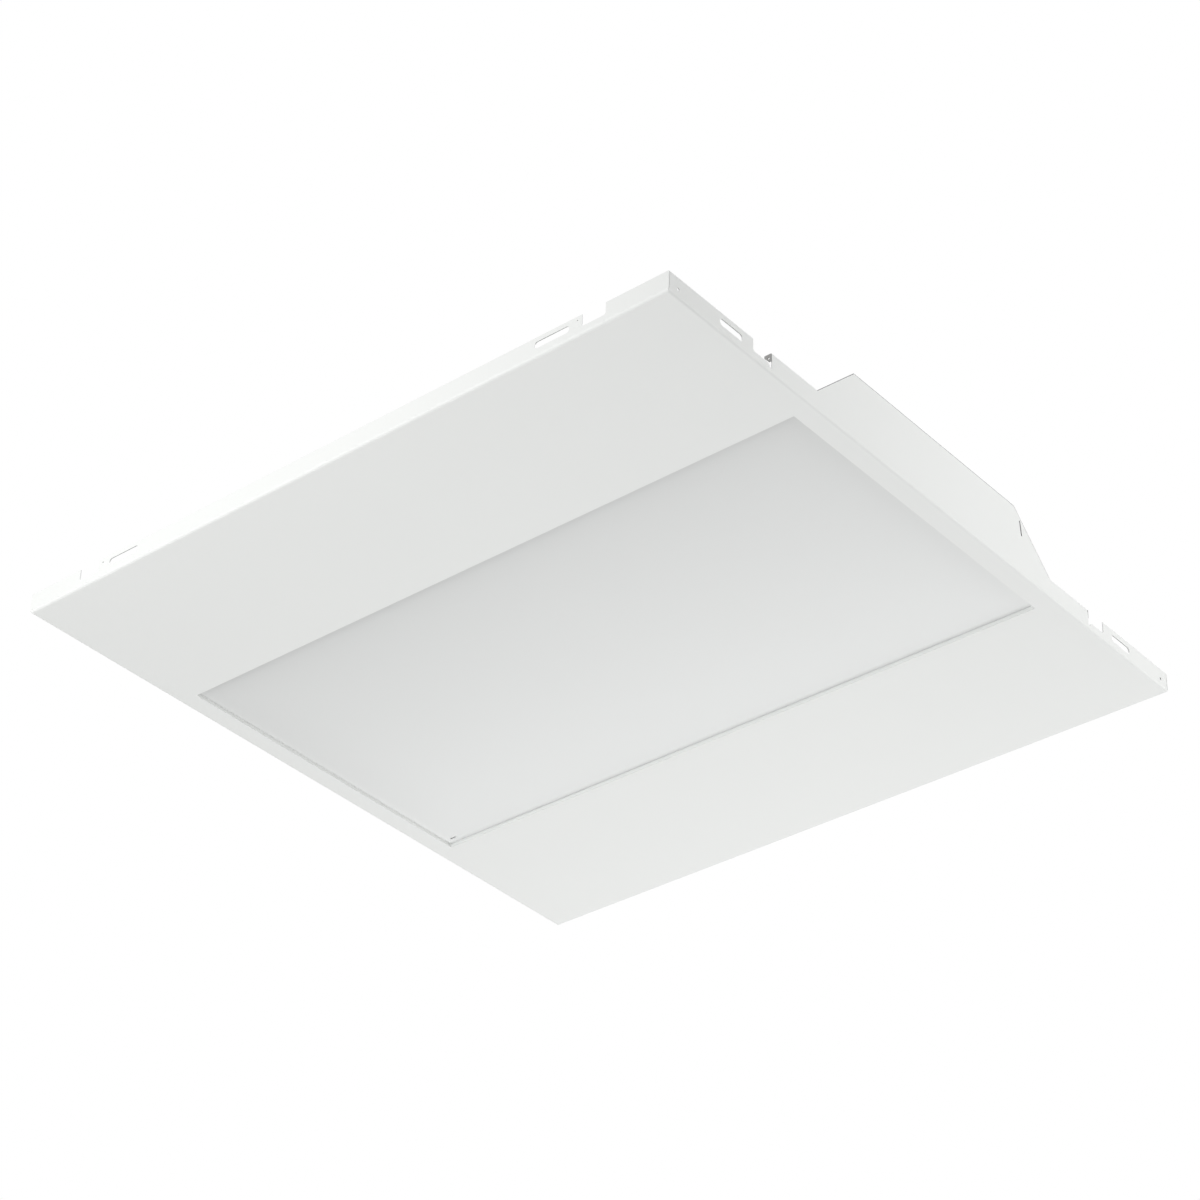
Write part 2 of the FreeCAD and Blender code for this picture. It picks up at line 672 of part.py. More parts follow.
def housing_shell():
    """The sloping channel with its top, two slopes and two feet."""
    body = doc.addObject("PartDesign::Body", "shell_channel")
    gauge = "size.shell_gauge"
    foot_top = f"({PAN_BACK} + {gauge})"
    right = [
        (SHELL_FOOT_END, PAN_BACK),
        (SHELL_FOOT_END, foot_top),
        (slope(foot_top), foot_top),
        ("size.top_width / 2", "size.rise"),
    ]
    inner = [
        (f"({slope(PAN_BACK)} - {slant(gauge)})", PAN_BACK),
        (f"({slope(WALL_TOP)} - {slant(gauge)})", WALL_TOP),
    ]
    left = [(f"-{y}", z) for y, z in reversed(right)]
    inner_left = [(f"-{y}", z) for y, z in inner]
    outline = right + left + inner_left + list(reversed(inner))
    length = f"(2 * ({HALF} - size.shell_end_gap))"
    sketch = sketch_on(body, "channel_outline", "YZ", "0")
    draw_outline(sketch, outline)
    feature(body, "Pad", "channel", sketch, length, symmetric=True)

    def along(edge):
        return near(edge.Length, length)

    def outer_bend(edge):
        return along(edge) and lies_at(edge, "size.rise")

    def inner_bend(edge):
        return along(edge) and lies_at(edge, WALL_TOP)

    round_edges(body, "outer_bends", "size.shell_bend", outer_bend)
    round_edges(body, "inner_bends", f"size.shell_bend - {gauge}", inner_bend)
    notches = []
    inner_radius = "(size.edge_bend - size.gauge)"
    cut_backs = (("foot", inner_radius, f"{PAN_BACK} + {inner_radius}"), ("notch", "0", "size.flange"))
    for kind, further, height in cut_backs:
        deep = f"(size.gauge + size.flange_gap + {further} + 1)"
        for sign, side in ((-1, "low"), (1, "high")):
            low_x = f"{HALF} + 1 - {deep}" if sign > 0 else f"-{HALF} - 1"
            low = (low_x, "-size.base_width", "0")
            sides = (deep, "size.base_width * 2", f"{height} + size.flange_gap")
            notches.append(block(f"shell_{kind}_{side}", low, sides))
    holes = []
    for number, (x, y) in enumerate(top_screw_places()):
        radius = "size.screw_shank / 2 + size.screw_fit"
        base = (x, y, "size.rise - size.shell_gauge * 2")
        holes.append(rod(f"shell_hole_{number}", base, "z", radius, "size.shell_gauge * 4"))
    for number, (x, y) in enumerate(board_screw_places()):
        radius = "size.screw_shank / 2 + size.screw_fit"
        base = (x, y, "size.rise - size.shell_gauge * 2")
        holes.append(rod(f"board_hole_{number}", base, "z", radius, "size.shell_gauge * 4"))
    for number, base in enumerate(slope_screw_places()):
        radius = "size.screw_shank / 2 + size.screw_fit"
        hole = rod(f"slope_hole_{number}", base, "z", radius, "size.shell_gauge * 4")
        holes.append(tilted(hole, inward(base, "size.shell_gauge * 2")))
    hole_radius = "size.bushing_neck + size.bushing_fit"
    hole = rod("bushing_hole", BUSHING_AT, "z", hole_radius, "size.shell_gauge * 4")
    holes.append(tilted(hole, inward(BUSHING_AT, "size.shell_gauge * 2")))
    return keep("housing_shell", cut("housing_shell", body, notches + holes))


def pan_head_screw(name, length):
    """A pan-head sheet metal screw, its head's seat at the origin, pointing down."""
    head = rod(name + "_head", ("0", "0", "0"), "z", "size.screw_head / 2", "size.screw_head_tall")
    shank_base = ("0", "0", f"-({length})")
    shank = rod(name + "_shank", shank_base, "z", "size.screw_shank / 2", f"{length} + 0.2")
    solid = joined(name + "_solid", [head, shank])
    wide = "size.socket_long"
    thin = "size.socket_wide"
    deep = "size.screw_head_tall"
    floor = "(size.screw_head_tall - size.driver_socket)"
    bar_x = block(name + "_bar_x", (f"-{wide} / 2", f"-{thin} / 2", floor), (wide, thin, deep))
    bar_y = block(name + "_bar_y", (f"-{thin} / 2", f"-{wide} / 2", floor), (thin, wide, deep))
    return cut(name, solid, [bar_x, bar_y])


def copy_of(name, pattern):
    """Another copy of a fastener, to be put in its own place."""
    piece = doc.addObject("Part::Compound", name)
    piece.Links = [pattern]
    return piece


def housing_screws():
    """Six screws through the shell's top into the end walls' tabs."""
    pattern = pan_head_screw("top_screw", "size.shell_gauge + size.gauge + size.screw_tip")
    copies = []
    for number, (x, y) in enumerate(top_screw_places()):
        copies.append(place(copy_of(f"top_screw_{number}", pattern), (x, y, "size.rise")))
    return keep("housing_screws", group("housing_screws", copies))


# Lens: a frosted acrylic sheet that lies on the lip.

def lens():
    """The lens with the small slot in one corner."""
    half_x = "(size.opening_long / 2 + size.lens_lap)"
    half_y = "(size.opening_wide / 2 + size.lens_lap)"
    slot_x = "(size.lens_slot_inset_x - size.opening_long / 2)"
    slot_y = "(size.opening_wide / 2 - size.lens_slot_inset_y)"
    slot = span(
        f"{slot_x} - size.lens_slot_long / 2", f"{slot_x} + size.lens_slot_long / 2",
        f"{slot_y} - size.lens_slot_wide / 2", f"{slot_y} + size.lens_slot_wide / 2")
    body = prism("lens", "XY", "size.lip", "size.lens_thick", [rectangle(half_x, half_y), slot])
    return keep("lens", body)


# Light boards: four strips under the shell's top, each with its chips and connectors.

BOARD_TOP = WALL_TOP
BOARD_FLOOR = f"({BOARD_TOP} - size.board_thick)"
BOARD_HALF = f"({INNER} - size.tab_depth - size.board_end_gap)"
CHIP_ROW = f"(2 * ({BOARD_HALF} - size.chip_end_gap))"
BOARD_SCREW = f"(size.board_screw_step * {CHIP_ROW} / (size.chip_count - 1))"
PLUG_X = f"({BOARD_HALF} - size.plug_inset)"


def board_y(number):
    """Where a board lies across the housing, the first at the -Y side."""
    return f"({number - 2.5} * size.board_pitch)"


def board_screw_places():
    """Three screws along each board."""
    places = []
    for number in range(1, 5):
        for step in (-1, 0, 1):
            places.append((f"{step} * {BOARD_SCREW}", board_y(number)))
    return places


def light_board(number):
    """One aluminium-backed circuit strip with its screw holes."""
    y = board_y(number)
    outline = span(
        f"-{BOARD_HALF}", BOARD_HALF,
        f"{y} - size.board_wide / 2", f"{y} + size.board_wide / 2")
    holes = []
    for step in (-1, 0, 1):
        hole_at = (f"{step} * {BOARD_SCREW}", y)
        holes.append((hole_at, "size.screw_shank / 2 + size.screw_fit"))
    name = f"led_board_{number}"
    return keep(name, prism(name, "XY", BOARD_FLOOR, "size.board_thick", [outline], holes))


def light_chips(number):
    """The row of light chips on the room side of one board."""
    name = f"led_chips_{number}"
    y = board_y(number)
    start = f"(-{CHIP_ROW} / 2)"
    outline = span(
        f"{start} - size.chip_long / 2", f"{start} + size.chip_long / 2",
        f"{y} - size.chip_wide / 2", f"{y} + size.chip_wide / 2")
    low = f"{BOARD_FLOOR} - size.chip_thick"
    body = prism(name, "XY", low, "size.chip_thick", [outline])
    row = body.newObject("PartDesign::LinearPattern", name + "_row")
    row.Originals = [body.Tip]
    axis = [item for item in body.Origin.OriginFeatures if item.Role == "X_Axis"][0]
    row.Direction = (axis, [""])
    row.setExpression("Length", CHIP_ROW)
    row.setExpression("Occurrences", "size.chip_count")
    body.Tip = row
    return keep(name, body)


def board_screws():
    """Twelve screws that hold the boards up against the shell's top."""
    length = "size.board_thick + size.shell_gauge + size.board_screw_tip"
    pattern = pan_head_screw("board_screw", length)
    copies = []
    for number, (x, y) in enumerate(board_screw_places()):
        turned = copy_of(f"board_screw_{number}", pattern)
        turned.Placement = Placement(Vector(), Rotation(Vector(1, 0, 0), 180))
        copies.append(place(turned, (x, y, BOARD_FLOOR)))
    return keep("board_screws", group("board_screws", copies))


def board_connectors():
    """A connector on each end of each board."""
    pieces = []
    for number in range(1, 5):
        for sign, side in ((-1, "low"), (1, "high")):
            x = f"{sign} * {PLUG_X} - size.plug_long / 2"
            y = f"{board_y(number)} - size.plug_wide / 2"
            low = (x, y, f"{BOARD_FLOOR} - size.plug_thick")
            sides = ("size.plug_long", "size.plug_wide", "size.plug_thick")
            pieces.append(block(f"plug_{number}_{side}", low, sides))
    return keep("board_connectors", group("board_connectors", pieces))


# Leads: each a tube of straight runs and the arcs between them.

def lead_shape(points, radius):
    """A round lead along a route, each bend as wide as its two runs allow."""
    edges = []
    start = points[0]
    tightest = 1e9
    for before, corner, after in zip(points, points[1:], points[2:]):
        into = corner - before
        away = after - corner
        turn = into.getAngle(away)
        reach = 0.45 * min(into.Length, away.Length)
        tightest = min(tightest, reach / math.tan(turn / 2))
        first = corner - Vector(into).normalize() * reach
        last = corner + Vector(away).normalize() * reach
        halfway = Vector(away).normalize() - Vector(into).normalize()
        bulge = reach / math.tan(turn / 2) * (1 / math.cos(turn / 2) - 1)
        middle = corner + halfway.normalize() * bulge
        edges.append(Part.LineSegment(start, first).toShape())
        edges.append(Part.Arc(first, middle, last).toShape())
        start = last
    edges.append(Part.LineSegment(start, points[-1]).toShape())
    path = Part.Wire(edges)
    along = points[1] - points[0]
    section = Part.Wire([Part.Circle(points[0], along, radius).toShape()])
    tube = path.makePipeShell([section], True, False)
    expected = math.pi * radius ** 2 * path.Length
    print(f"lead: tightest radius {tightest:.1f}, volume / expected {tube.Volume / expected:.4f}")
    return tube


def lead(name, points, radius):
    """One lead as a piece of its own."""
    piece = doc.addObject("Part::Feature", name)
    piece.Shape = lead_shape([Vector(*point) for point in points], worth(radius))
    return piece


def board_jumpers():
    """Three short leads that join each board to the next."""
    pieces = []
    z = worth(BOARD_FLOOR) - worth("size.plug_thick") / 2
    for number, sign in ((3, 1), (2, -1), (1, 1)):
        x = sign * worth(PLUG_X)
        start = worth(board_y(number)) + worth("size.plug_wide") / 2
        end = worth(board_y(number + 1)) - worth("size.plug_wide") / 2
        gap = end - start
        points = []
        for share, sag in ((0, 0), (0.18, 0), (0.4, 2.6), (0.6, 2.6), (0.82, 0), (1, 0)):
            points.append((x, start + gap * share, z - sag))
        pieces.append(lead(f"jumper_{number}", points, "size.thin_lead"))
    return keep("board_jumpers", group("board_jumpers", pieces))


TERMINAL_FLOOR = "(size.gauge + size.driver_gauge + size.driver_board_gap + size.driver_board_thick)"


def led_leads():
    """The red and black leads from the driver through the bushing to the last board."""
    out_x = worth(f"{DRIVER_START} - size.terminal_out")
    out_y = worth(f"{DRIVER_SIDE} + size.terminal_place")
    out_z = worth(f"{TERMINAL_FLOOR} + size.terminal_tall / 2")
    in_x = -worth(f"{PLUG_X} - size.plug_long / 2")
    in_y = worth(board_y(4))
    in_z = worth(f"{BOARD_FLOOR} - size.plug_thick / 2")
    hole_x = worth(BUSHING_X)
    hole_z = worth("size.bushing_height")
    for name, step in (("led_lead_red", 1), ("led_lead_black", -1)):
        aside = 1.7 * step
        points = [
            (out_x, out_y - 3 * step, out_z),
            (out_x - 17, out_y - 3 * step, out_z),
            (out_x - 40 + aside, out_y - 13 - aside, out_z + 6),
            (hole_x + 1 + aside, out_y - 37 - aside, hole_z - 0.6),
            (hole_x + aside, out_y - 65, hole_z + 0.6),
            (hole_x + aside, out_y - 86, hole_z + 0.2),
            (hole_x - 9 + aside, out_y - 107 - aside, hole_z + 6),
            (hole_x - 34 + aside, in_y + 10 - aside, hole_z + 16),
            (hole_x - 76, in_y - aside, in_z),
            (in_x, in_y - aside, in_z),
        ]
        keep(name, lead(name, points, "size.thin_lead"))


def lead_bushing():
    """The rubber bushing that snaps into the slope."""
    gauge = "size.shell_gauge"
    rim = "size.bushing_rim_thick"
    low_rim = rod("bushing_low", ("0", "0", f"-{gauge} - {rim}"), "z", "size.bushing_rim", rim)
    neck_base = ("0", "0", f"-{gauge} - {rim} / 2")
    neck = rod("bushing_middle", neck_base, "z", "size.bushing_neck", f"{gauge} + {rim}")
    high_rim = rod("bushing_high", ("0", "0", "0"), "z", "size.bushing_rim", rim)
    whole = joined("bushing_whole", [low_rim, neck, high_rim])
    bore_base = ("0", "0", f"-{gauge} - {rim} * 2")
    bore = rod("bushing_bore", bore_base, "z", "size.bushing_bore", f"{gauge} + {rim} * 4")
    return keep("lead_bushing", tilted(cut("lead_bushing", whole, [bore]), BUSHING_AT))


# Wiring compartment: a folded wall on the pan's back, closed by a hinged cover.

COVER_FLOOR = "(size.box_rise - size.box_gauge)"
LEDGE_TOP = f"({COVER_FLOOR} - size.box_gap)"
BOX_INNER = f"({BOX_WALL} - size.box_gauge)"
KNUCKLE = "(size.pin_radius + size.pin_fit + size.knuckle_wall)"
PIN_Y = f"({BOX_INNER} + {KNUCKLE})"
PIN_Z = f"(size.box_rise - {KNUCKLE})"
KNUCKLE_COUNT = 5
KNUCKLE_LONG = f"(({HINGE_HALF} * 2 - size.knuckle_gap * {KNUCKLE_COUNT - 1}) / {KNUCKLE_COUNT})"


def knuckle_start(number):
    """Where a hinge knuckle starts along X."""
    return f"(-{HINGE_HALF} + {number} * ({KNUCKLE_LONG} + size.knuckle_gap))"


def knuckle_bore(name):
    """The hole for the pin along the whole hinge."""
    base = (f"-{HINGE_HALF} - 1", PIN_Y, PIN_Z)
    return rod(name, base, "x", "size.pin_radius + size.pin_fit", f"{HINGE_HALF} * 2 + 2")


def knockout_ring(name, middle, axis):
    """The cut round a knockout, open but for two bridges."""
    outer = rod(name + "_outer", middle, axis, "size.knockout / 2", "4")
    inner = rod(name + "_inner", middle, axis, "size.knockout / 2 - size.knockout_cut", "4")
    ring = cut(name + "_ring", outer, [inner])
    wide = "size.knockout_bridge"
    low = (f"{middle[0]} - {wide} / 2", f"{middle[1]} - 1", f"{middle[2]} - size.knockout")
    sides = (wide, "6", "size.knockout * 2")
    if axis == "x":
        low = (f"{middle[0]} - 1", f"{middle[1]} - {wide} / 2", low[2])
        sides = ("6", wide, "size.knockout * 2")
    return cut(name, ring, [block(name + "_bridges", low, sides)])


def driver_box():
    """The compartment's long wall, end walls, foot, ledges and hinge knuckles."""
    gauge = "size.box_gauge"
    wall_top = f"({PIN_Z} - {KNUCKLE} - size.knuckle_gap)"
    pieces = [
        block("box_long_wall", ("-size.box_half", BOX_INNER, PAN_BACK),
              ("size.box_half * 2", gauge, f"{wall_top} - {PAN_BACK}")),
        block("box_foot", ("-size.box_half", BOX_INNER, PAN_BACK),
              ("size.box_half * 2", f"{gauge} + size.box_foot", gauge)),
    ]
    beside = "size.box_gap"
    over_foot = f"({PAN_BACK} + size.shell_gauge + {beside})"
    past_foot = f"({SHELL_FOOT_END} + {beside})"
    for sign, side in ((-1, "low"), (1, "high")):
        wall_low = f"size.box_half - {gauge}" if sign > 0 else "-size.box_half"
        outline = [
            (past_foot, PAN_BACK),
            (BOX_WALL, PAN_BACK),
            (BOX_WALL, wall_top),
            (f"{PIN_Y} - {KNUCKLE} - size.knuckle_gap", LEDGE_TOP),
            (f"{slope(LEDGE_TOP)} + {beside}", LEDGE_TOP),
            (f"{slope(over_foot)} + {beside}", over_foot),
            (past_foot, over_foot),
        ]
        pieces.append(prism(f"box_end_{side}", "YZ", wall_low, gauge, [outline]))
        ledge_low = "size.box_half - size.box_ledge" if sign > 0 else "-size.box_half"
        ledge = (ledge_low, f"{slope(LEDGE_TOP)} + {beside} + 2", f"{LEDGE_TOP} - {gauge}")
        ledge_long = f"{PIN_Y} - {KNUCKLE} - size.knuckle_gap - {slope(LEDGE_TOP)} - {beside} - 2"
        pieces.append(block(f"box_ledge_{side}", ledge, ("size.box_ledge", ledge_long, gauge)))
        flange_low = "size.box_half - size.box_gauge" if sign > 0 else "-size.box_half - size.box_ledge"
        floor = "size.box_ledge_floor"
        flange_outline = [
            (slope(floor), floor),
            (f"{slope(floor)} + {slant(gauge)}", floor),
            (f"{slope(LEDGE_TOP)} + {slant(gauge)}", LEDGE_TOP),
            (slope(LEDGE_TOP), LEDGE_TOP),
        ]
        flange_wide = "size.box_ledge + size.box_gauge"
        pieces.append(prism(f"box_flange_{side}", "YZ", flange_low, flange_wide, [flange_outline]))
    for number in range(0, KNUCKLE_COUNT, 2):
        x = knuckle_start(number)
        tongue = block(f"box_tongue_{number}", (x, BOX_INNER, wall_top),
                       (KNUCKLE_LONG, gauge, f"{PIN_Z} - {wall_top}"))
        pieces.append(tongue)
        pieces.append(rod(f"box_knuckle_{number}", (x, PIN_Y, PIN_Z), "x", KNUCKLE, KNUCKLE_LONG))
    cuts = [knuckle_bore("box_pin_bore")]
    for sign, side in ((-1, "low"), (1, "high")):
        middle = (f"{sign} * {KNOCKOUT_X}", f"{BOX_INNER} - 1", "size.knockout_height")
        cuts.append(knockout_ring(f"knockout_{side}", middle, "y"))
        end_x = f"{sign} * size.box_half - 2"
        end_middle = (end_x, f"({DRIVER_SIDE} + size.driver_wide / 2)", "size.knockout_height")
        cuts.append(knockout_ring(f"end_knockout_{side}", end_middle, "x"))
    for number, base in enumerate(slope_screw_places()):
        radius = "size.screw_shank / 2 + size.screw_fit"
        cuts.append(tilted(rod(f"flange_hole_{number}", base, "z", radius, "3"), base))
    return keep("driver_box", cut("driver_box", joined("box_folded", pieces), cuts))


def box_screws():
    """Four screws that hold the compartment on the housing's slope."""
    pattern = pan_head_screw("slope_screw", "size.shell_gauge + size.box_gauge + size.screw_tip")
    norm = f"sqrt(1 + {SLOPE} ^ 2)"
    copies = []
    for number, (x, y, z) in enumerate(slope_screw_places()):
        seat = (x, f"{y} + size.box_gauge / {norm}", f"{z} + size.box_gauge * {SLOPE} / {norm}")
        copies.append(tilted(copy_of(f"slope_screw_{number}", pattern), seat))
    return keep("box_screws", group("box_screws", copies))


def access_cover():
    """The hinged cover of the compartment."""
    near_y = f"({slope('size.box_rise')} + size.cover_gap)"
    far_y = f"({PIN_Y} - {KNUCKLE} - size.knuckle_gap)"
    outline = span("-size.box_half", "size.box_half", near_y, far_y)
    radius = "size.cover_screw_shank + size.cover_screw_fit"
    hole = (("0", LATCH_Y), radius)
    plate = prism("cover_plate", "XY", COVER_FLOOR, "size.box_gauge", [outline], [hole])
    pieces = [plate]
    for number in range(1, KNUCKLE_COUNT, 2):
        x = knuckle_start(number)
        tongue_long = f"{PIN_Y} - {far_y}"
        pieces.append(block(f"cover_tongue_{number}", (x, far_y, COVER_FLOOR),
                            (KNUCKLE_LONG, tongue_long, "size.box_gauge")))
        pieces.append(rod(f"cover_knuckle_{number}", (x, PIN_Y, PIN_Z), "x", KNUCKLE, KNUCKLE_LONG))
    whole = joined("cover_folded", pieces)
    return keep("access_cover", cut("access_cover", whole, [knuckle_bore("cover_pin_bore")]))


def hinge_pin():
    """The steel pin of the cover's hinge."""
    base = (f"-{HINGE_HALF}", PIN_Y, PIN_Z)
    pin = rod("cover_hinge_pin", base, "x", "size.pin_radius", f"{HINGE_HALF} * 2")
    return keep("cover_hinge_pin", pin)


def latch_bracket():
    """The angle on the slope that the cover screw locks into."""
    gauge = "size.latch_gauge"
    floor = f"({LEDGE_TOP} - {gauge})"
    leg_floor = f"({LEDGE_TOP} - size.latch_leg)"
    tip = f"({slope(LEDGE_TOP)} + size.latch_ledge)"
    outline = [
        (slope(LEDGE_TOP), LEDGE_TOP),
        (tip, LEDGE_TOP),
        (tip, floor),
        (f"{slope(floor)} + {slant(gauge)}", floor),
        (f"{slope(leg_floor)} + {slant(gauge)}", leg_floor),
        (slope(leg_floor), leg_floor),
    ]
    body = prism("latch_angle", "YZ", "-size.latch_half", "size.latch_half * 2", [outline])
    radius = "size.cover_screw_shank + size.latch_hole_fit"
    hole = rod("latch_hole", ("0", LATCH_Y, f"{floor} - 1"), "z", radius, f"{gauge} + 2")
    return keep("latch_bracket", cut("latch_bracket", body, [hole]))


def cover_screw():
    """The quarter-turn screw of the cover, slotted for a coin."""
    y = LATCH_Y
    head = rod("cover_screw_top", ("0", y, "size.box_rise"), "z", "size.cover_screw_head",
               "size.cover_screw_head_tall")
    floor = "(size.box_rise - size.cover_screw_reach)"
    shank = rod("cover_screw_stem", ("0", y, floor), "z", "size.cover_screw_shank",
                "size.cover_screw_reach + 0.2")
    groove_low = ("-size.cover_screw_head", f"{y} - size.cover_screw_slot / 2",
                  "size.box_rise + size.cover_screw_head_tall / 2")
    groove_size = ("size.cover_screw_head * 2", "size.cover_screw_slot", "size.cover_screw_head_tall")
    groove = block("cover_screw_groove", groove_low, groove_size)
    whole = joined("cover_screw_whole", [head, shank])
    return keep("cover_screw", cut("cover_screw", whole, [groove]))


# Driver: a steel case with a circuit board, fixed on two weld studs.

DRIVER_FLOOR = f"({PAN_BACK} + size.driver_gauge)"
BOARD_SEAT = f"({DRIVER_FLOOR} + size.driver_board_gap)"


def stud_places():
    """The driver's two studs and the ground stud."""
    y = f"({DRIVER_SIDE} + size.stud_place)"
    low = f"({DRIVER_START} - size.driver_ear / 2 - 1)"
    high = f"({DRIVER_END} + size.driver_ear / 2 + 1)"
    return [(low, y), (high, y), (GROUND_X, GROUND_Y)]


def driver_case():
    """The lower case: a channel with fixing ears and standoffs."""
    gauge = "size.driver_gauge"
    outer = block("case_outer", (DRIVER_START, DRIVER_SIDE, PAN_BACK),
                  (DRIVER_LONG, "size.driver_wide", "size.driver_tall"))
    ears = block("case_ears", (f"{DRIVER_START} - size.driver_ear", DRIVER_SIDE, PAN_BACK),
                 (f"{DRIVER_LONG} + size.driver_ear * 2", "size.driver_wide", gauge))
    inside = block("case_inside", (f"{DRIVER_START} - 1", f"{DRIVER_SIDE} + {gauge}", DRIVER_FLOOR),
                   (f"{DRIVER_LONG} + 2", f"size.driver_wide - {gauge} * 2", "size.driver_tall"))
    holes = []
    for number, (x, y) in enumerate(stud_places()[:2]):
        holes.append(rod(f"ear_hole_{number}", (x, y, "0"), "z", "size.stud + 0.2", "4"))
    channel = cut("case_channel", joined("case_blank", [outer, ears]), [inside] + holes)
    posts = []
    inset = "size.driver_board_inset + 5"
    for x in (f"{DRIVER_START} + {inset}", f"{DRIVER_END} - ({inset})"):
        for y in (f"{DRIVER_SIDE} + {inset}", f"{DRIVER_SIDE} + size.driver_wide - ({inset})"):
            base = (x, y, f"{DRIVER_FLOOR} - 0.2")
            name = f"standoff_{len(posts)}"
            posts.append(rod(name, base, "z", "size.standoff", "size.driver_board_gap + 0.2"))
    return keep("driver_case", joined("driver_case", [channel] + posts))


def driver_cover():
    """The upper case: a top with two end flaps, open for the terminals."""
    gauge = "size.driver_gauge"
    fit = "size.driver_fit"
    low_x = f"{DRIVER_START} - {fit} - {gauge}"
    top = f"({PAN_BACK} + size.driver_tall + {fit})"
    floor = f"({DRIVER_FLOOR} + {fit})"
    outer = block("lid_outer", (low_x, DRIVER_SIDE, floor),
                  (f"{DRIVER_LONG} + ({fit} + {gauge}) * 2", "size.driver_wide",
                   f"{top} + {gauge} - {floor}"))
    inside = block("lid_inside", (f"{DRIVER_START} - {fit}", f"{DRIVER_SIDE} - 1", f"{floor} - 1"),
                   (f"{DRIVER_LONG} + {fit} * 2", "size.driver_wide + 2", f"{top} - {floor} + 1"))
    window = block("lid_window",
                   (f"{DRIVER_START} - 20", f"{DRIVER_SIDE} + size.terminal_place"
                    f" - size.terminal_wide / 2 - {fit}", f"{TERMINAL_FLOOR} - {fit}"),
                   (f"{DRIVER_LONG} + 40", f"size.terminal_wide + {fit} * 2",
                    f"size.terminal_tall + {fit} * 2"))
    return keep("driver_cover", cut("driver_cover", outer, [inside, window]))


def driver_board():
    """The driver's circuit board on its standoffs."""
    inset = "size.driver_board_inset"
    low = (f"{DRIVER_START} + {inset}", f"{DRIVER_SIDE} + {inset}", BOARD_SEAT)
    sides = (f"{DRIVER_LONG} - {inset} * 2", f"size.driver_wide - {inset} * 2",
             "size.driver_board_thick")
    return keep("driver_board", block("driver_board", low, sides))


def driver_parts():
    """The transformer, capacitors, choke and terminal blocks on the board."""
    z = TERMINAL_FLOOR
    first = f"({DRIVER_START} + size.can_inset)"
    last = f"({DRIVER_END} - size.can_inset)"
    room_low = f"({first} + size.large_can_radius)"
    room_high = f"({last} - size.can_step - size.small_can_radius)"
    room = f"({room_high} - {room_low} - size.transformer_long)"
    core_x = f"({room_low} + {room} * size.transformer_share)"
    core_y = f"({DRIVER_SIDE} + size.transformer_side)"
    core = block("transformer_core", (core_x, core_y, z),
                 ("size.transformer_long", "size.transformer_wide", "size.transformer_tall"))
    coil_at = (f"{core_x} + size.transformer_long / 2",
               f"{core_y} + (size.transformer_wide - size.coil_long) / 2",
               f"{z} + size.transformer_tall / 2")
    coil = rod("transformer_coil", coil_at, "y", "size.coil_radius", "size.coil_long")
    keep("driver_transformer", joined("driver_transformer", [core, coil]))
    far = f"({DRIVER_SIDE} + size.driver_wide - size.can_side)"
    cans = [rod("large_can", (first, far, z), "z", "size.large_can_radius", "size.large_can_tall")]
    small_places = (
        (last, far),
        (f"{last} - size.can_step", far),
        (last, f"{far} - size.can_pitch"),
    )
    for number, (x, y) in enumerate(small_places):
        name = f"small_can_{number}"
        cans.append(rod(name, (x, y, z), "z", "size.small_can_radius", "size.small_can_tall"))
    keep("driver_capacitors", group("driver_capacitors", cans))
    choke = doc.addObject("Part::Torus", "driver_choke")
    choke.setExpression("Radius1", "size.choke_ring")
    choke.setExpression("Radius2", "size.choke_thick")
    choke_at = (first, f"{DRIVER_SIDE} + size.choke_side", f"{z} + size.choke_thick")
    keep("driver_choke", place(choke, choke_at))
    y = f"{DRIVER_SIDE} + size.terminal_place - size.terminal_wide / 2"
    sides = ("size.terminal_long", "size.terminal_wide", "size.terminal_tall")
    low = block("terminal_low", (f"{DRIVER_START} - size.terminal_out", y, z), sides)
    high_x = f"{DRIVER_END} + size.terminal_out - size.terminal_long"
    high = block("terminal_high", (high_x, y, z), sides)
    keep("driver_terminals", group("driver_terminals", [low, high]))


def studs_and_nuts():
    """Three weld studs on the pan's back and their hexagon nuts."""
    studs = []
    nuts = []
    seats = (DRIVER_FLOOR, DRIVER_FLOOR, f"({PAN_BACK} + size.ring_thick)")
    for number, ((x, y), seat) in enumerate(zip(stud_places(), seats)):
        base = (x, y, PAN_BACK)
        studs.append(rod(f"stud_{number}", base, "z", "size.stud", "size.stud_tall"))
        blank = doc.addObject("Part::Prism", f"nut_blank_{number}")
        blank.Polygon = 6
        blank.setExpression("Circumradius", "size.nut_flats / sqrt(3)")
        blank.setExpression("Height", "size.nut_tall")
        place(blank, (x, y, seat))
        bore_base = (x, y, f"{seat} - 1")
        bore = rod(f"nut_bore_{number}", bore_base, "z", "size.stud + size.nut_fit", "size.nut_tall + 2")
        nuts.append(cut(f"nut_{number}", blank, [bore]))
    keep("weld_studs", group("weld_studs", studs))
    keep("stud_nuts", group("stud_nuts", nuts))


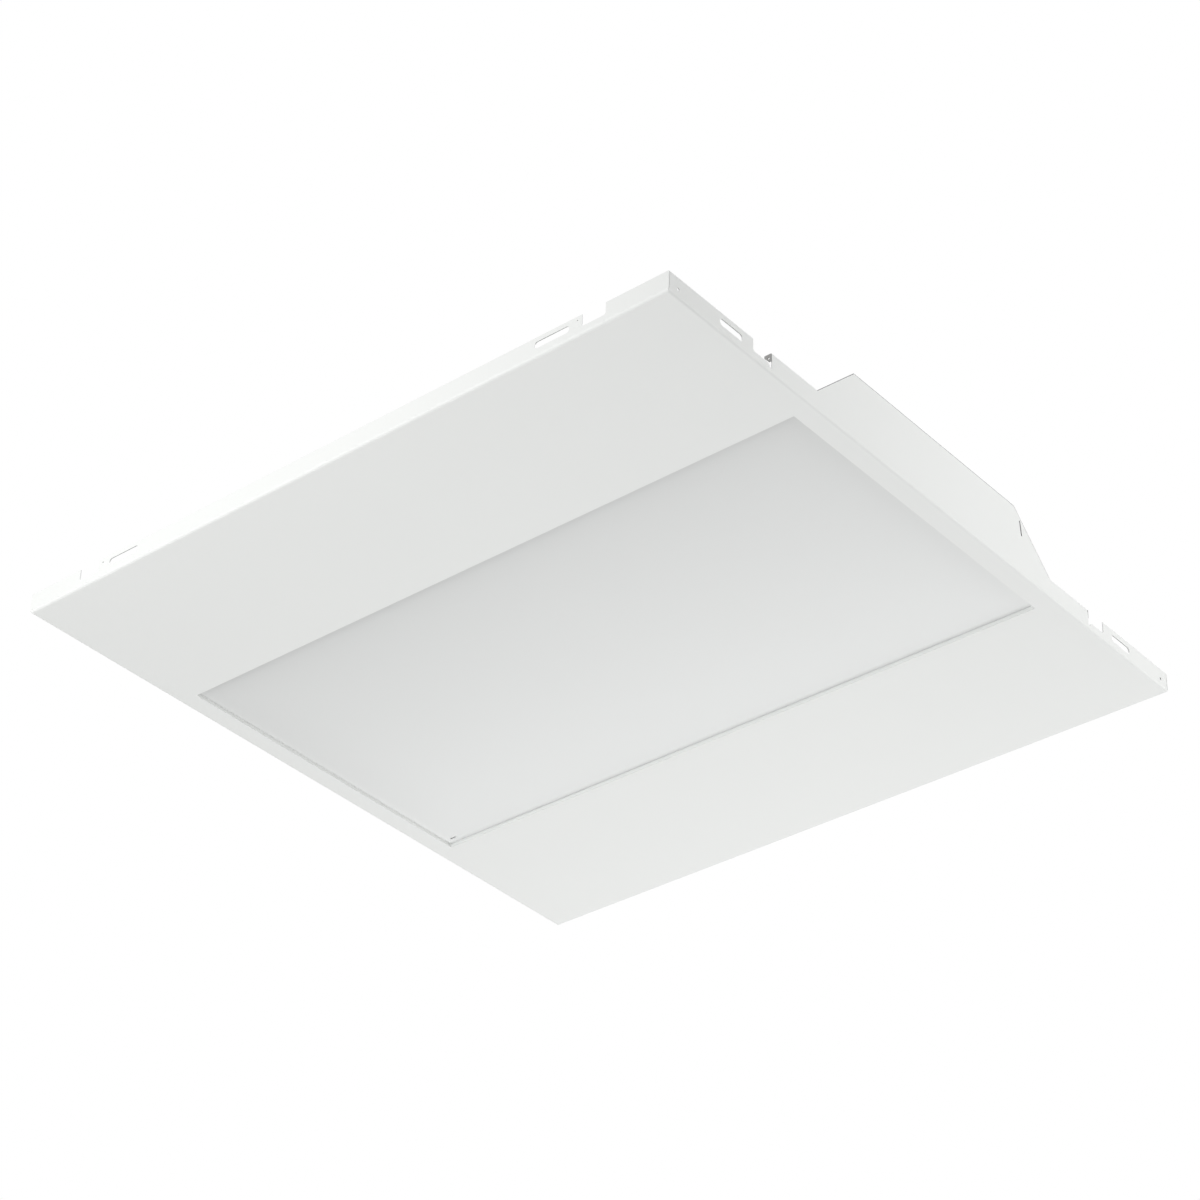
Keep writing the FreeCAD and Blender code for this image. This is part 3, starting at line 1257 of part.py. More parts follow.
def supply_wiring():
    """The supply leads with their push-in connectors, and the ground lead."""
    x = worth(f"{DRIVER_END} + size.terminal_out")
    y = worth(f"{DRIVER_SIDE} + size.terminal_place")
    z = worth(f"{TERMINAL_FLOOR} + size.terminal_tall / 2")
    rest = worth(f"{PAN_BACK} + size.connector_tall / 2")
    black = [(x, y, z), (x + 13, y, z), (x + 27, y + 2, z - 4),
             (x + 39, y + 3, rest), (x + 44, y - 5, rest), (x + 44, y - 13, rest)]
    white = [(x, y - 6, z), (x + 9, y - 6, z), (x + 18, y - 4, z - 4),
             (x + 26, y - 3, rest), (x + 30, y - 8, rest), (x + 30, y - 13, rest)]
    keep("supply_lead_black", lead("supply_lead_black", black, "size.thick_lead"))
    keep("supply_lead_white", lead("supply_lead_white", white, "size.thick_lead"))
    pieces = []
    for number, points in enumerate((black, white)):
        end = points[-1]
        low = (f"{end[0]} - size.connector_wide / 2", f"{end[1]} - size.connector_long", PAN_BACK)
        sides = ("size.connector_wide", "size.connector_long", "size.connector_tall")
        pieces.append(block(f"push_in_{number}", low, sides))
    keep("wire_connectors", group("wire_connectors", pieces))
    ground_x = worth(GROUND_X)
    barrel_end = worth(f"{GROUND_Y} - size.ring_radius - size.barrel_long")
    barrel_radius = "(size.thick_lead + size.barrel_wall)"
    barrel_height = f"({PAN_BACK} + {barrel_radius} + size.ring_thick / 2)"
    barrel_z = worth(barrel_height)
    green = [(x, y + 6, z), (x + 10, y + 6, z), (x + 18, y + 8, z - 4),
             (ground_x - 1, y + 11, barrel_z + 1.5), (ground_x, barrel_end - 5, barrel_z),
             (ground_x, barrel_end, barrel_z)]
    keep("ground_lead", lead("ground_lead", green, "size.thick_lead"))
    ring = rod("ring_outer", (GROUND_X, GROUND_Y, PAN_BACK), "z",
               "size.ring_radius", "size.ring_thick")
    barrel_base = (GROUND_X, f"{GROUND_Y} - size.ring_radius - size.barrel_long",
                   barrel_height)
    barrel = rod("ring_barrel", barrel_base, "y", barrel_radius, "size.barrel_long + 0.6")
    hole = rod("ring_hole", (GROUND_X, GROUND_Y, "0"), "z", "size.stud + 0.1", "5")
    whole = joined("ring_whole", [ring, barrel])
    keep("ground_ring", cut("ground_ring", whole, [hole]))


face_pan()
for ear_number, (ear_x, ear_y) in enumerate(((1, -1), (1, 1), (-1, -1), (-1, 1)), 1):
    grid_ear(ear_number, ear_x, ear_y)
housing_shell()
housing_screws()
lens()
for board_number in range(1, 5):
    light_board(board_number)
    light_chips(board_number)
board_screws()
board_connectors()
board_jumpers()
led_leads()
lead_bushing()
driver_box()
box_screws()
access_cover()
hinge_pin()
latch_bracket()
cover_screw()
driver_case()
driver_cover()
driver_board()
driver_parts()
studs_and_nuts()
supply_wiring()

doc.recompute()
for item in doc.Objects:
    for bad in ("Invalid", "Error"):
        if bad in item.State:
            raise RuntimeError(f"{item.Label} is {item.State}")
for name, piece in nodes.items():
    shape = piece.Shape
    if shape.isNull() or not shape.isValid():
        raise RuntimeError(f"{name} has no valid shape")

os.makedirs("parts", exist_ok=True)
for name, piece in nodes.items():
    piece.Shape.exportStep(f"parts/{name}.step")
    print(f"{name}: {len(piece.Shape.Solids)} solid(s), volume {piece.Shape.Volume:.0f}")
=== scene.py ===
import math

import bmesh
import bpy
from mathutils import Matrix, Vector


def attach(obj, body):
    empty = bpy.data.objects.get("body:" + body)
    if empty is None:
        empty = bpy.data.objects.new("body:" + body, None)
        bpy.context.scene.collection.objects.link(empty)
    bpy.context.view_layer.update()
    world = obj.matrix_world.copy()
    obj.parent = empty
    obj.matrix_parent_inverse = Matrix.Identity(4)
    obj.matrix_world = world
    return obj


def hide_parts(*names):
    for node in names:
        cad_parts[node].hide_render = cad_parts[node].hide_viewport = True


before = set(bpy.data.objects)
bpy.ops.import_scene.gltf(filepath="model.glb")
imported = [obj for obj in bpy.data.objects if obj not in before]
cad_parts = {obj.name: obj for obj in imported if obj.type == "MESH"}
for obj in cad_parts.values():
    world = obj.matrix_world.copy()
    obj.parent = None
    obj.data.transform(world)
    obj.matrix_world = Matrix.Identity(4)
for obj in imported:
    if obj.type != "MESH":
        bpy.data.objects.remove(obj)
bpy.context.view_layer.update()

# FACE PAN
# One sheet of 0.7 mm steel, folded into a face, a lip round the lens opening, four flanges and the two
# end walls. The sheet is painted white before it is cut, so cut edges show bare steel that has dulled.

MM = 0.001
FLANGE_SKIN = 300.85 * MM
BENDS_TOP = 2.75 * MM
CORNER_START = 299.5 * MM
EDGE_TURN = 0.5
DULL_STEEL = (0.62, 0.62, 0.62, 1)
WHITE_PAINT = (0.835, 0.846, 0.832, 1)
SATIN = [("Specular IOR Level", 0.35)]
PAINT_GRAIN = 0.012 * MM


def finish_group(name, inputs, more_outputs=()):
    """A shader node group that puts out a finish's colour, roughness and height, and both ends' sockets."""
    group = bpy.data.node_groups.new(name, "ShaderNodeTree")
    for label, kind, value in inputs:
        socket = group.interface.new_socket(label, in_out="INPUT", socket_type="NodeSocket" + kind)
        socket.default_value = value
    for label, kind in (("Color", "Color"), ("Roughness", "Float"), ("Height", "Float"), *more_outputs):
        group.interface.new_socket(label, in_out="OUTPUT", socket_type="NodeSocket" + kind)
    return group, group.nodes.new("NodeGroupInput").outputs, group.nodes.new("NodeGroupOutput").inputs


def node_in(tree, kind, links=(), **values):
    """A node with its sockets filled from values and its inputs linked in order of (socket, source)."""
    node = tree.nodes.new("ShaderNode" + kind)
    for key, value in values.items():
        label = key.replace("_", " ").title()
        if label in node.inputs:
            node.inputs[label].default_value = value
        else:
            setattr(node, key, value)
    for socket, source in links:
        tree.links.new(source, node.inputs[socket])
    return node


def maths(tree, operation, *terms):
    """The result of one sum on values and other nodes' outputs."""
    node = tree.nodes.new("ShaderNodeMath")
    node.operation = operation
    for number, term in enumerate(terms):
        if isinstance(term, (int, float)):
            node.inputs[number].default_value = term
        else:
            tree.links.new(term, node.inputs[number])
    return node.outputs[0]


def noise_of(tree, where, scale, detail=2.0):
    """A noise between 0 and 1, with its scale in waves per metre."""
    noise = node_in(tree, "TexNoise", [("Vector", where)], detail=detail)
    if isinstance(scale, (int, float)):
        noise.inputs["Scale"].default_value = scale
    else:
        tree.links.new(scale, noise.inputs["Scale"])
    return noise.outputs["Fac"]


def shade_of(tree, colour, factor):
    """A colour made lighter or darker by a factor."""
    node = node_in(tree, "VectorMath", [("Vector", colour), ("Scale", factor)], operation="SCALE")
    return node.outputs["Vector"]


def blend_of(tree, factor, first, second):
    """A colour between two others, all of the second where the factor is 1."""
    node = node_in(tree, "Mix", [("Factor", factor)], data_type="RGBA")
    colours = [socket for socket in node.inputs if socket.type == "RGBA"]
    tree.links.new(first, colours[0])
    tree.links.new(second, colours[1])
    return [socket for socket in node.outputs if socket.type == "RGBA"][0]


def powder_coat_group():
    """Baked paint: fine orange peel, slow drift of tone, small changes of gloss, and painted shade on folds.
    """
    group, source, sink = finish_group("powder_coat", (
        ("Paint", "Color", (0.86, 0.87, 0.86, 1)),
        ("Drift", "Float", 0.012),
        ("Fold Shade", "Float", 0.0),
        ("Peel", "Float", 700.0),
        ("Gloss", "Float", 0.5)))
    coords = node_in(group, "TexCoord")
    where = coords.outputs["Object"]
    slow = maths(group, "SUBTRACT", noise_of(group, where, 6.0, detail=1.0), 0.5)
    tone = maths(group, "MULTIPLY_ADD", slow, source["Drift"], 1.0)
    # Painted shade: the colour darkens where the surface faces halfway between level and upright, as on the
    # folds.
    upright = node_in(group, "SeparateXYZ", [("Vector", coords.outputs["Normal"])]).outputs["Z"]
    level = maths(group, "MULTIPLY", upright, upright)
    steep = maths(group, "SUBTRACT", 1.0, level)
    fold_shade = maths(group, "MULTIPLY", maths(group, "MULTIPLY", level, steep), 4.0)
    tone = maths(group, "SUBTRACT", tone, maths(group, "MULTIPLY", fold_shade, source["Fold Shade"]))
    group.links.new(shade_of(group, source["Paint"], tone), sink["Color"])
    patch = maths(group, "SUBTRACT", noise_of(group, where, 45.0), 0.5)
    group.links.new(maths(group, "MULTIPLY_ADD", patch, 0.10, source["Gloss"]), sink["Roughness"])
    group.links.new(noise_of(group, where, source["Peel"]), sink["Height"])
    return group


def cut_edges_group(name, steel, regions):
    """Covers a finish with bare steel on cut edges.

    A region is the axis that the edges lie far out on, the other level axis, how far out they start, and
    whether they turn away from the first axis rather than along it. It ends short of the corners and
    above the bends.
    """
    group, source, sink = finish_group(name, (
        ("Paint", "Color", (0.8, 0.8, 0.8, 1)),
        ("Steel", "Color", steel),
        ("Gloss", "Float", 0.5),
        ("Peel", "Float", 0.5)), [("Metal", "Float")])
    coords = node_in(group, "TexCoord")
    where = node_in(group, "SeparateXYZ", [("Vector", coords.outputs["Object"])])
    facing = node_in(group, "SeparateXYZ", [("Vector", coords.outputs["Normal"])])
    masks = []
    for axis, other, least, turned_away in regions:
        out = maths(group, "GREATER_THAN", maths(group, "ABSOLUTE", where.outputs[axis]), least)
        off_corner = maths(group, "LESS_THAN", maths(group, "ABSOLUTE", where.outputs[other]), CORNER_START)
        high = maths(group, "GREATER_THAN", where.outputs["Z"], BENDS_TOP)
        along = maths(group, "ABSOLUTE", facing.outputs[axis])
        way = maths(group, "LESS_THAN" if turned_away else "GREATER_THAN", along, EDGE_TURN)
        place = maths(group, "MULTIPLY", maths(group, "MULTIPLY", out, off_corner), high)
        masks.append(maths(group, "MULTIPLY", place, way))
    bare = masks[0]
    for mask in masks[1:]:
        bare = maths(group, "MAXIMUM", bare, mask)
    streaks = noise_of(group, coords.outputs["Object"], 1500.0)
    bright = maths(group, "MULTIPLY_ADD", streaks, 0.4, 0.8)
    bare_steel = shade_of(group, source["Steel"], bright)
    group.links.new(blend_of(group, bare, source["Paint"], bare_steel), sink["Color"])
    steel_gloss = maths(group, "MULTIPLY_ADD", streaks, 0.2, 0.4)
    change = maths(group, "SUBTRACT", steel_gloss, source["Gloss"])
    group.links.new(maths(group, "MULTIPLY_ADD", bare, change, source["Gloss"]), sink["Roughness"])
    group.links.new(source["Peel"], sink["Height"])
    group.links.new(bare, sink["Metal"])
    return group


def finish_material(name, group, depth, values, shader_values=(), edges=None):
    """A material that takes colour, roughness and bump from a finish group, under any cut edges' group."""
    material = bpy.data.materials.new(name)
    material.use_nodes = True
    tree = material.node_tree
    tree.nodes.clear()
    finish = tree.nodes.new("ShaderNodeGroup")
    finish.node_tree = group
    for label, value in values:
        finish.inputs[label].default_value = value
    if edges:
        under = finish.outputs
        finish = tree.nodes.new("ShaderNodeGroup")
        finish.node_tree = edges
        for label, output in (("Paint", "Color"), ("Gloss", "Roughness"), ("Peel", "Height")):
            tree.links.new(under[output], finish.inputs[label])
    bump = node_in(tree, "Bump", [("Height", finish.outputs["Height"])], distance=depth)
    shader = node_in(tree, "BsdfPrincipled", [
        ("Base Color", finish.outputs["Color"]),
        ("Roughness", finish.outputs["Roughness"]),
        ("Normal", bump.outputs["Normal"])])
    for label, value in shader_values:
        shader.inputs[label].default_value = value
    if edges:
        tree.links.new(finish.outputs["Metal"], shader.inputs["Metallic"])
    node_in(tree, "OutputMaterial", [("Surface", shader.outputs["BSDF"])])
    return material


def dress(material, *names):
    """Gives the material to CAD nodes through their material slots."""
    for name in names:
        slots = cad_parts[name].data.materials
        for number in range(len(slots)):
            slots[number] = material


powder_coat = powder_coat_group()
white_enamel = finish_material("white_enamel", powder_coat, PAINT_GRAIN, [("Paint", WHITE_PAINT)], SATIN)
flange_edges = cut_edges_group("flange_cut_edges", DULL_STEEL, (
    ("X", "Y", FLANGE_SKIN, True), ("Y", "X", FLANGE_SKIN, True)))
# The pan's enamel darkens its folds a little: painted shade.
pan_enamel = finish_material(
    "pan_enamel", powder_coat, PAINT_GRAIN, [("Paint", WHITE_PAINT), ("Fold Shade", 0.05)], SATIN, flange_edges)
dress(pan_enamel, "face_pan")

# GRID EARS
# Four small tabs of the end flanges, bent inward beside the notches as the light is delivered, and the
# installer bends them out over the grid. They look dark, and their dark zinc colour is painted shade for the
# shade inside the flanges.

EARS = [f"grid_ear_{number}" for number in range(1, 5)]
PLATING_GRAIN = 0.004 * MM
METAL = [("Metallic", 1.0)]


def zinc_group():
    """Bright zinc plating: small cloudy patches, a drift between blue and yellow, fine tool lines."""
    group, source, sink = finish_group("zinc_plating", (
        ("Cold", "Color", (0.56, 0.59, 0.63, 1)),
        ("Warm", "Color", (0.62, 0.60, 0.53, 1)),
        ("Patch", "Float", 420.0),
        ("Dull", "Float", 0.32)))
    where = node_in(group, "TexCoord").outputs["Object"]
    patch = noise_of(group, where, source["Patch"], detail=3.0)
    group.links.new(blend_of(group, patch, source["Cold"], source["Warm"]), sink["Color"])
    group.links.new(maths(group, "MULTIPLY_ADD", patch, 0.18, source["Dull"]), sink["Roughness"])
    group.links.new(noise_of(group, where, 5200.0, detail=1.0), sink["Height"])
    return group


def plated_metal(name, cold, warm, dull, patch=420.0):
    """A bare or plated metal of the given two tones."""
    return finish_material(name, zinc_plating, PLATING_GRAIN, [
        ("Cold", cold), ("Warm", warm), ("Patch", patch), ("Dull", dull)], METAL)


zinc_plating = zinc_group()
ear_painted_shade = plated_metal("ear_painted_shade", (0.30, 0.31, 0.32, 1), (0.34, 0.33, 0.31, 1), 0.4)
# The ears' dark zinc colour is painted shade.
dress(ear_painted_shade, *EARS)

# LENS
# A 2 mm acrylic sheet, frosted on its room side, that lies loose on the lip of the opening.
# The shade of the unlit space behind it is painted as a slightly darker rim, and painted light makes the
# sheet lighter towards the wiring side.

LENS_HALF = (284.7 * MM, 145.7 * MM)
LENS_RIM = 26 * MM
LENS_GRAIN = 0.006 * MM
LENS_TINT = (0.788, 0.799, 0.790, 1)


def frosted_group():
    """Frosted sheet: very fine grain, soft clouds, painted light that grows across it towards +Y, and painted
    shade along its rim.
    """
    group, source, sink = finish_group("frosted_sheet", (
        ("Tint", "Color", LENS_TINT),
        ("Rim Shade", "Float", 0.05),
        ("Painted Light Slope", "Float", 0.5),
        ("Grain", "Float", 2600.0)))
    where = node_in(group, "TexCoord").outputs["Object"]
    apart = node_in(group, "SeparateXYZ", [("Vector", where)])
    # Painted shade: darker within a rim's width of each edge.
    rims = []
    for axis, half in zip("XY", LENS_HALF):
        inset = maths(group, "SUBTRACT", half, maths(group, "ABSOLUTE", apart.outputs[axis]))
        rims.append(maths(group, "EXPONENT", maths(group, "DIVIDE", inset, -LENS_RIM)))
    rim_shade = maths(group, "MAXIMUM", *rims)
    cloud = maths(group, "SUBTRACT", noise_of(group, where, 5.0, detail=1.0), 0.5)
    # Painted light: the colour grows lighter towards +Y, the wiring side.
    painted_slope = maths(group, "MULTIPLY_ADD", apart.outputs["Y"], source["Painted Light Slope"], 1.0)
    light = maths(group, "MULTIPLY_ADD", cloud, 0.012, painted_slope)
    dark = maths(group, "MULTIPLY", rim_shade, source["Rim Shade"])
    group.links.new(shade_of(group, source["Tint"], maths(group, "SUBTRACT", light, dark)), sink["Color"])
    grain = noise_of(group, where, source["Grain"])
    group.links.new(maths(group, "MULTIPLY_ADD", grain, 0.08, 0.46), sink["Roughness"])
    group.links.new(grain, sink["Height"])
    return group


frosted_acrylic = finish_material(
    "frosted_acrylic", frosted_group(), LENS_GRAIN, [("Tint", LENS_TINT)], [("Specular IOR Level", 0.4)])
dress(frosted_acrylic, "lens")

# HOUSING SHELL
# A 0.6 mm steel tray over the lens, painted bright white inside as the reflector. Its two feet are spot
# welded to the back of the pan, and the round marks of the electrodes stay under the paint.

SHELL_END = 301 * MM
DARK_STEEL = (0.27, 0.27, 0.27, 1)
FOOT_TOP = 1.3 * MM
FOOT_MIDDLE = 165.4 * MM
WELD_STEP = 60 * MM
WELD_MARK = ((0, -0.05), (3.1, -0.05), (3.0, 0.02), (2.7, 0.13), (2.3, 0.12), (2.0, 0.03), (0, 0.02))


def in_metres(profile):
    """An outline's points, from millimetres to metres."""
    return [(radius * MM, height * MM) for radius, height in profile]


def join_rings(bm, rings):
    """Faces from each ring of points to the next; a ring of one point closes the form there."""
    for low, high in zip(rings, rings[1:]):
        for step in range(max(len(low), len(high))):
            corners = [low[step % len(low)], low[(step + 1) % len(low)],
                       high[(step + 1) % len(high)], high[step % len(high)]]
            corners = [vert for number, vert in enumerate(corners) if vert not in corners[:number]]
            if len(corners) > 2:
                bm.faces.new(corners)


def revolve(bm, profile, centre, steps, up=Vector((0, 0, 1))):
    """A closed turned form from (radius, height) points; points of radius 0 close its ends."""
    turn = Vector((0, 0, 1)).rotation_difference(up).to_matrix()
    rings = []
    for radius, height in profile:
        count = 1 if radius == 0 else steps
        ring = []
        for step in range(count):
            angle = 2 * math.pi * step / steps
            point = Vector((radius * math.cos(angle), radius * math.sin(angle), height))
            ring.append(bm.verts.new(Vector(centre) + turn @ point))
        rings.append(ring)
    join_rings(bm, rings)


def made_piece(name, bm, material, smooth=35, stands_for=()):
    """Turns a finished form into a piece that rides on the housing and takes its finish from a slot."""
    bmesh.ops.recalc_face_normals(bm, faces=bm.faces)
    mesh = bpy.data.meshes.new(name)
    bm.to_mesh(mesh)
    bm.free()
    mesh.shade_smooth()
    mesh.set_sharp_from_angle(angle=math.radians(smooth))
    mesh.materials.append(material)
    piece = bpy.data.objects.new(name, mesh)
    bpy.context.scene.collection.objects.link(piece)
    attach(piece, "housing")
    if stands_for:
        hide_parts(*stands_for)


shell_edges = cut_edges_group("shell_cut_edges", DARK_STEEL, (("X", "Y", SHELL_END, False),))
shell_enamel = finish_material(
    "shell_enamel", powder_coat, PAINT_GRAIN, [("Paint", WHITE_PAINT)], SATIN, shell_edges)
dress(shell_enamel, "housing_shell")
marks = bmesh.new()
mark_profile = in_metres(WELD_MARK)
for side in (-1, 1):
    for number in range(-4, 5):
        revolve(marks, mark_profile, (number * WELD_STEP, side * FOOT_MIDDLE, FOOT_TOP), steps=20)
made_piece("shell_weld_marks", marks, white_enamel)

# HOUSING SCREWS
# Six zinc-plated sheet metal screws, three at each end, that hold the shell to the end walls' tabs.
# Plating is bluish with a faint yellow cast and dulls where it was handled.

zinc_steel = finish_material("zinc_steel", zinc_plating, PLATING_GRAIN, [], METAL)
dress(zinc_steel, "housing_screws")

# LIGHT BOARDS
# Four aluminium boards under white solder mask, screwed under the shell's top. Copper rows run along
# both sides of the chips and stand out a little through the mask.

BOARD_PITCH = 45 * MM
TRACK_PLACE = 5.2 * MM
TRACK_HALF = 1.1 * MM
TRACK_EDGE = TRACK_HALF * 1.3
MASK_RISE = 0.03 * MM
BOARDS = [f"led_board_{number}" for number in range(1, 5)]


def solder_mask_group():
    """White mask over copper: raised tracks along the board, a shade warmer than the bare mask."""
    group, source, sink = finish_group("solder_mask", (
        ("Mask", "Color", (0.87, 0.88, 0.87, 1)),
        ("Copper Tone", "Float", 0.035)))
    where = node_in(group, "TexCoord").outputs["Object"]
    across = node_in(group, "SeparateXYZ", [("Vector", where)]).outputs["Y"]
    local = maths(group, "SUBTRACT", maths(group, "WRAP", across, 0.0, BOARD_PITCH), BOARD_PITCH / 2)
    past_track = maths(group, "SUBTRACT", maths(group, "ABSOLUTE", local), TRACK_PLACE)
    off_track = maths(group, "ABSOLUTE", past_track)
    edge = node_in(group, "MapRange", [("Value", off_track)], interpolation_type="SMOOTHSTEP",
                   from_min=TRACK_HALF, from_max=TRACK_EDGE, to_min=1.0, to_max=0.0)
    track = edge.outputs["Result"]
    tone = maths(group, "MULTIPLY", track, source["Copper Tone"])
    group.links.new(shade_of(group, source["Mask"], maths(group, "SUBTRACT", 1.0, tone)), sink["Color"])
    speck = noise_of(group, where, 900.0)
    group.links.new(maths(group, "MULTIPLY_ADD", speck, 0.1, 0.26), sink["Roughness"])
    group.links.new(maths(group, "MULTIPLY_ADD", speck, 0.1, track), sink["Height"])
    return group


white_board = finish_material("white_board", solder_mask_group(), MASK_RISE, [])
dress(white_board, *BOARDS)

# LIGHT CHIPS
# Twenty surface-mount chips a board: a white moulded cup with a round well of yellow phosphor, soldered
# at both ends. The phosphor swells a little out of the cup.

CHIPS = [f"led_chips_{number}" for number in range(1, 5)]
CHIP_STEP = 26 * MM
CHIP_COUNT = 20
CHIP_FACE = 55.5 * MM
CHIP_FOOT = 56.2 * MM
CHIP_HALF_LONG = 1.75 * MM
PHOSPHOR_WELL = ((0, 0.3), (1.15, 0.3), (1.15, 0.0), (1.0, -0.05), (0.6, -0.09), (0, -0.1))
SOLDER_FILLET = ((0, 0.0), (0.75, 0.0), (0.7, 0.06), (0.45, 0.2), (0.2, 0.42), (0, 0.46))
DOWN = Vector((0, 0, -1))


def plastic_group():
    """Moulded plastic or rubber: a faint drift of tone, fine grain and slightly uneven gloss."""
    group, source, sink = finish_group("moulded_plastic", (
        ("Colour", "Color", (0.8, 0.8, 0.77, 1)),
        ("Drift", "Float", 0.08),
        ("Grain", "Float", 1800.0),
        ("Gloss", "Float", 0.35)))
    where = node_in(group, "TexCoord").outputs["Object"]
    slow = maths(group, "SUBTRACT", noise_of(group, where, 90.0), 0.5)
    tone = maths(group, "MULTIPLY_ADD", slow, source["Drift"], 1.0)
    group.links.new(shade_of(group, source["Colour"], tone), sink["Color"])
    grain = noise_of(group, where, source["Grain"])
    group.links.new(maths(group, "MULTIPLY_ADD", grain, 0.12, source["Gloss"]), sink["Roughness"])
    group.links.new(grain, sink["Height"])
    return group


moulded_plastic = plastic_group()
chip_cup = finish_material("chip_cup", moulded_plastic, 0.003 * MM, [
    ("Colour", (0.88, 0.87, 0.82, 1)), ("Drift", 0.02), ("Gloss", 0.3)])
phosphor = finish_material("phosphor", moulded_plastic, 0.01 * MM, [
    ("Colour", (0.86, 0.66, 0.11, 1)), ("Drift", 0.12), ("Grain", 9000.0), ("Gloss", 0.22)])
solder = plated_metal("solder", (0.66, 0.67, 0.68, 1), (0.60, 0.60, 0.58, 1), 0.2)

dress(chip_cup, *CHIPS)
wells = bmesh.new()
fillets = bmesh.new()
for row in range(len(CHIPS)):
    across = (row - (len(CHIPS) - 1) / 2) * BOARD_PITCH
    for number in range(CHIP_COUNT):
        along = (number - (CHIP_COUNT - 1) / 2) * CHIP_STEP
        revolve(wells, in_metres(PHOSPHOR_WELL), (along, across, CHIP_FACE), steps=20)
        for end in (-1, 1):
            spot = (along + end * CHIP_HALF_LONG, across, CHIP_FOOT)
            revolve(fillets, in_metres(SOLDER_FILLET), spot, up=DOWN, steps=12)
made_piece("chip_phosphor", wells, phosphor)
made_piece("chip_solder", fillets, solder)

# BOARD SCREWS, CONNECTORS AND JUMPERS
# Each board is held by three screws through the shell. Nylon plugs at its ends take the short white
# leads that join one board to the next.

JACKET_GRAIN = 0.006 * MM


def lead_jacket(name, colour, drift=0.08, gloss=0.3):
    """A lead's insulation, a little coarser than moulded plastic."""
    return finish_material(name, moulded_plastic, JACKET_GRAIN, [
        ("Colour", colour), ("Drift", drift), ("Grain", 1200.0), ("Gloss", gloss)])


nylon_white = finish_material("nylon_white", moulded_plastic, 0.004 * MM, [
    ("Colour", (0.83, 0.81, 0.74, 1)), ("Gloss", 0.36)])
white_jacket = lead_jacket("white_jacket", (0.80, 0.80, 0.78, 1))
dress(zinc_steel, "board_screws")
dress(nylon_white, "board_connectors")
dress(white_jacket, "board_jumpers")

# LIGHT LEADS AND BUSHING
# A red and a black lead bring the driver's output through a rubber bushing in the shell's slope.

red_jacket = lead_jacket("red_jacket", (0.55, 0.022, 0.02, 1))
black_jacket = lead_jacket("black_jacket", (0.018, 0.018, 0.02, 1), drift=0.3, gloss=0.32)
black_rubber = finish_material("black_rubber", moulded_plastic, 0.02 * MM, [
    ("Colour", (0.024, 0.024, 0.025, 1)), ("Drift", 0.4), ("Grain", 900.0), ("Gloss", 0.58)])
dress(red_jacket, "led_lead_red")
dress(black_jacket, "led_lead_black")
dress(black_rubber, "lead_bushing")

# WIRING COMPARTMENT
# A painted steel tray behind the housing with a hinged cover. Its foot is spot welded to the pan, its
# ends are screwed to the slope, and a quarter-turn screw holds the cover shut. The hinge pin is bare steel.

BOX_FOOT_TOP = 1.4 * MM
BOX_FOOT_MIDDLE = 267.2 * MM

dress(white_enamel, "driver_box", "access_cover")
dress(zinc_steel, "box_screws", "latch_bracket", "cover_screw")
box_marks = bmesh.new()
for number in range(-2, 3):
    revolve(box_marks, mark_profile, (number * WELD_STEP, BOX_FOOT_MIDDLE, BOX_FOOT_TOP), steps=20)
made_piece("box_weld_marks", box_marks, white_enamel)

bright_steel = plated_metal("bright_steel", (0.50, 0.50, 0.51, 1), (0.46, 0.45, 0.43, 1), 0.24)
dress(bright_steel, "cover_hinge_pin")

# DRIVER CASE
# The power supply's steel case with a push-on cover, painted white and fixed by its ears to weld studs.

driver_paint = finish_material("driver_paint", powder_coat, 0.02 * MM, [
    ("Paint", (0.78, 0.79, 0.785, 1)), ("Peel", 480.0), ("Gloss", 0.36)])
dress(driver_paint, "driver_case", "driver_cover")

# DRIVER BOARD
# Green solder mask on glass laminate, on four standoffs. Tracks show as ribs under the mask, and small
# parts are soldered between the large ones. A track is its width and its points; a small part is its
# middle, length, width and height. All are in millimetres.

BOARD_TOP = 6.8
TRACK_RISE = 0.05
TRACKS = (
    (1.6, (-68, 199), (-60, 199), (-52, 207), (-52, 219), (-49, 222)),
    (1.6, (-68, 207), (-62, 207), (-57, 212), (-57, 226), (-50, 226)),
    (1.2, (-33, 206), (-26, 206), (-18, 214), (-14, 214)),
    (1.2, (-33, 196), (-22, 196), (-14, 198)),
    (0.7, (-30, 232), (-6, 232), (2, 230), (26, 230), (31, 226)),
    (0.7, (-26, 188), (-4, 188), (3, 187), (28, 187), (36, 192)),
    (1.4, (21, 201), (30, 201), (36, 207), (44, 207), (48, 204)),
    (1.4, (21, 216), (28, 216), (33, 221)),
    (1.6, (56, 222), (64, 214), (64, 209), (78, 209)),
    (1.6, (57, 200), (66, 200), (70, 197), (78, 197)))
SMALL_PARTS = (
    (-22, 222, 3.2, 1.6, 0.6), (-22, 226, 3.2, 1.6, 0.6), (-28, 214, 1.6, 3.2, 0.6), (25, 208, 3.2, 1.6, 0.6),
    (25, 194, 2.0, 1.2, 0.5), (29, 194, 2.0, 1.2, 0.5), (66, 226, 3.2, 1.6, 0.6), (66, 230, 3.2, 1.6, 0.6),
    (40, 188, 1.2, 2.0, 0.5), (44, 188, 1.2, 2.0, 0.5), (-60, 190, 3.2, 1.6, 0.6), (70, 188, 2.0, 1.2, 0.5))
CAP_HALF = 0.3
CAP_SET_IN = 0.2
CAP_PROUD = 0.05
CONTROL_CHIP = (-30, 186, 9.9, 3.9, 1.5)
CHIP_LIFT = 0.2
CHIP_LEGS = 8
LEG_INSET = 0.4
LEG_STEP = 1.2446
LEG_HALF = 0.2
LEG_REACH = 1.0
LEG_TALL = 0.25


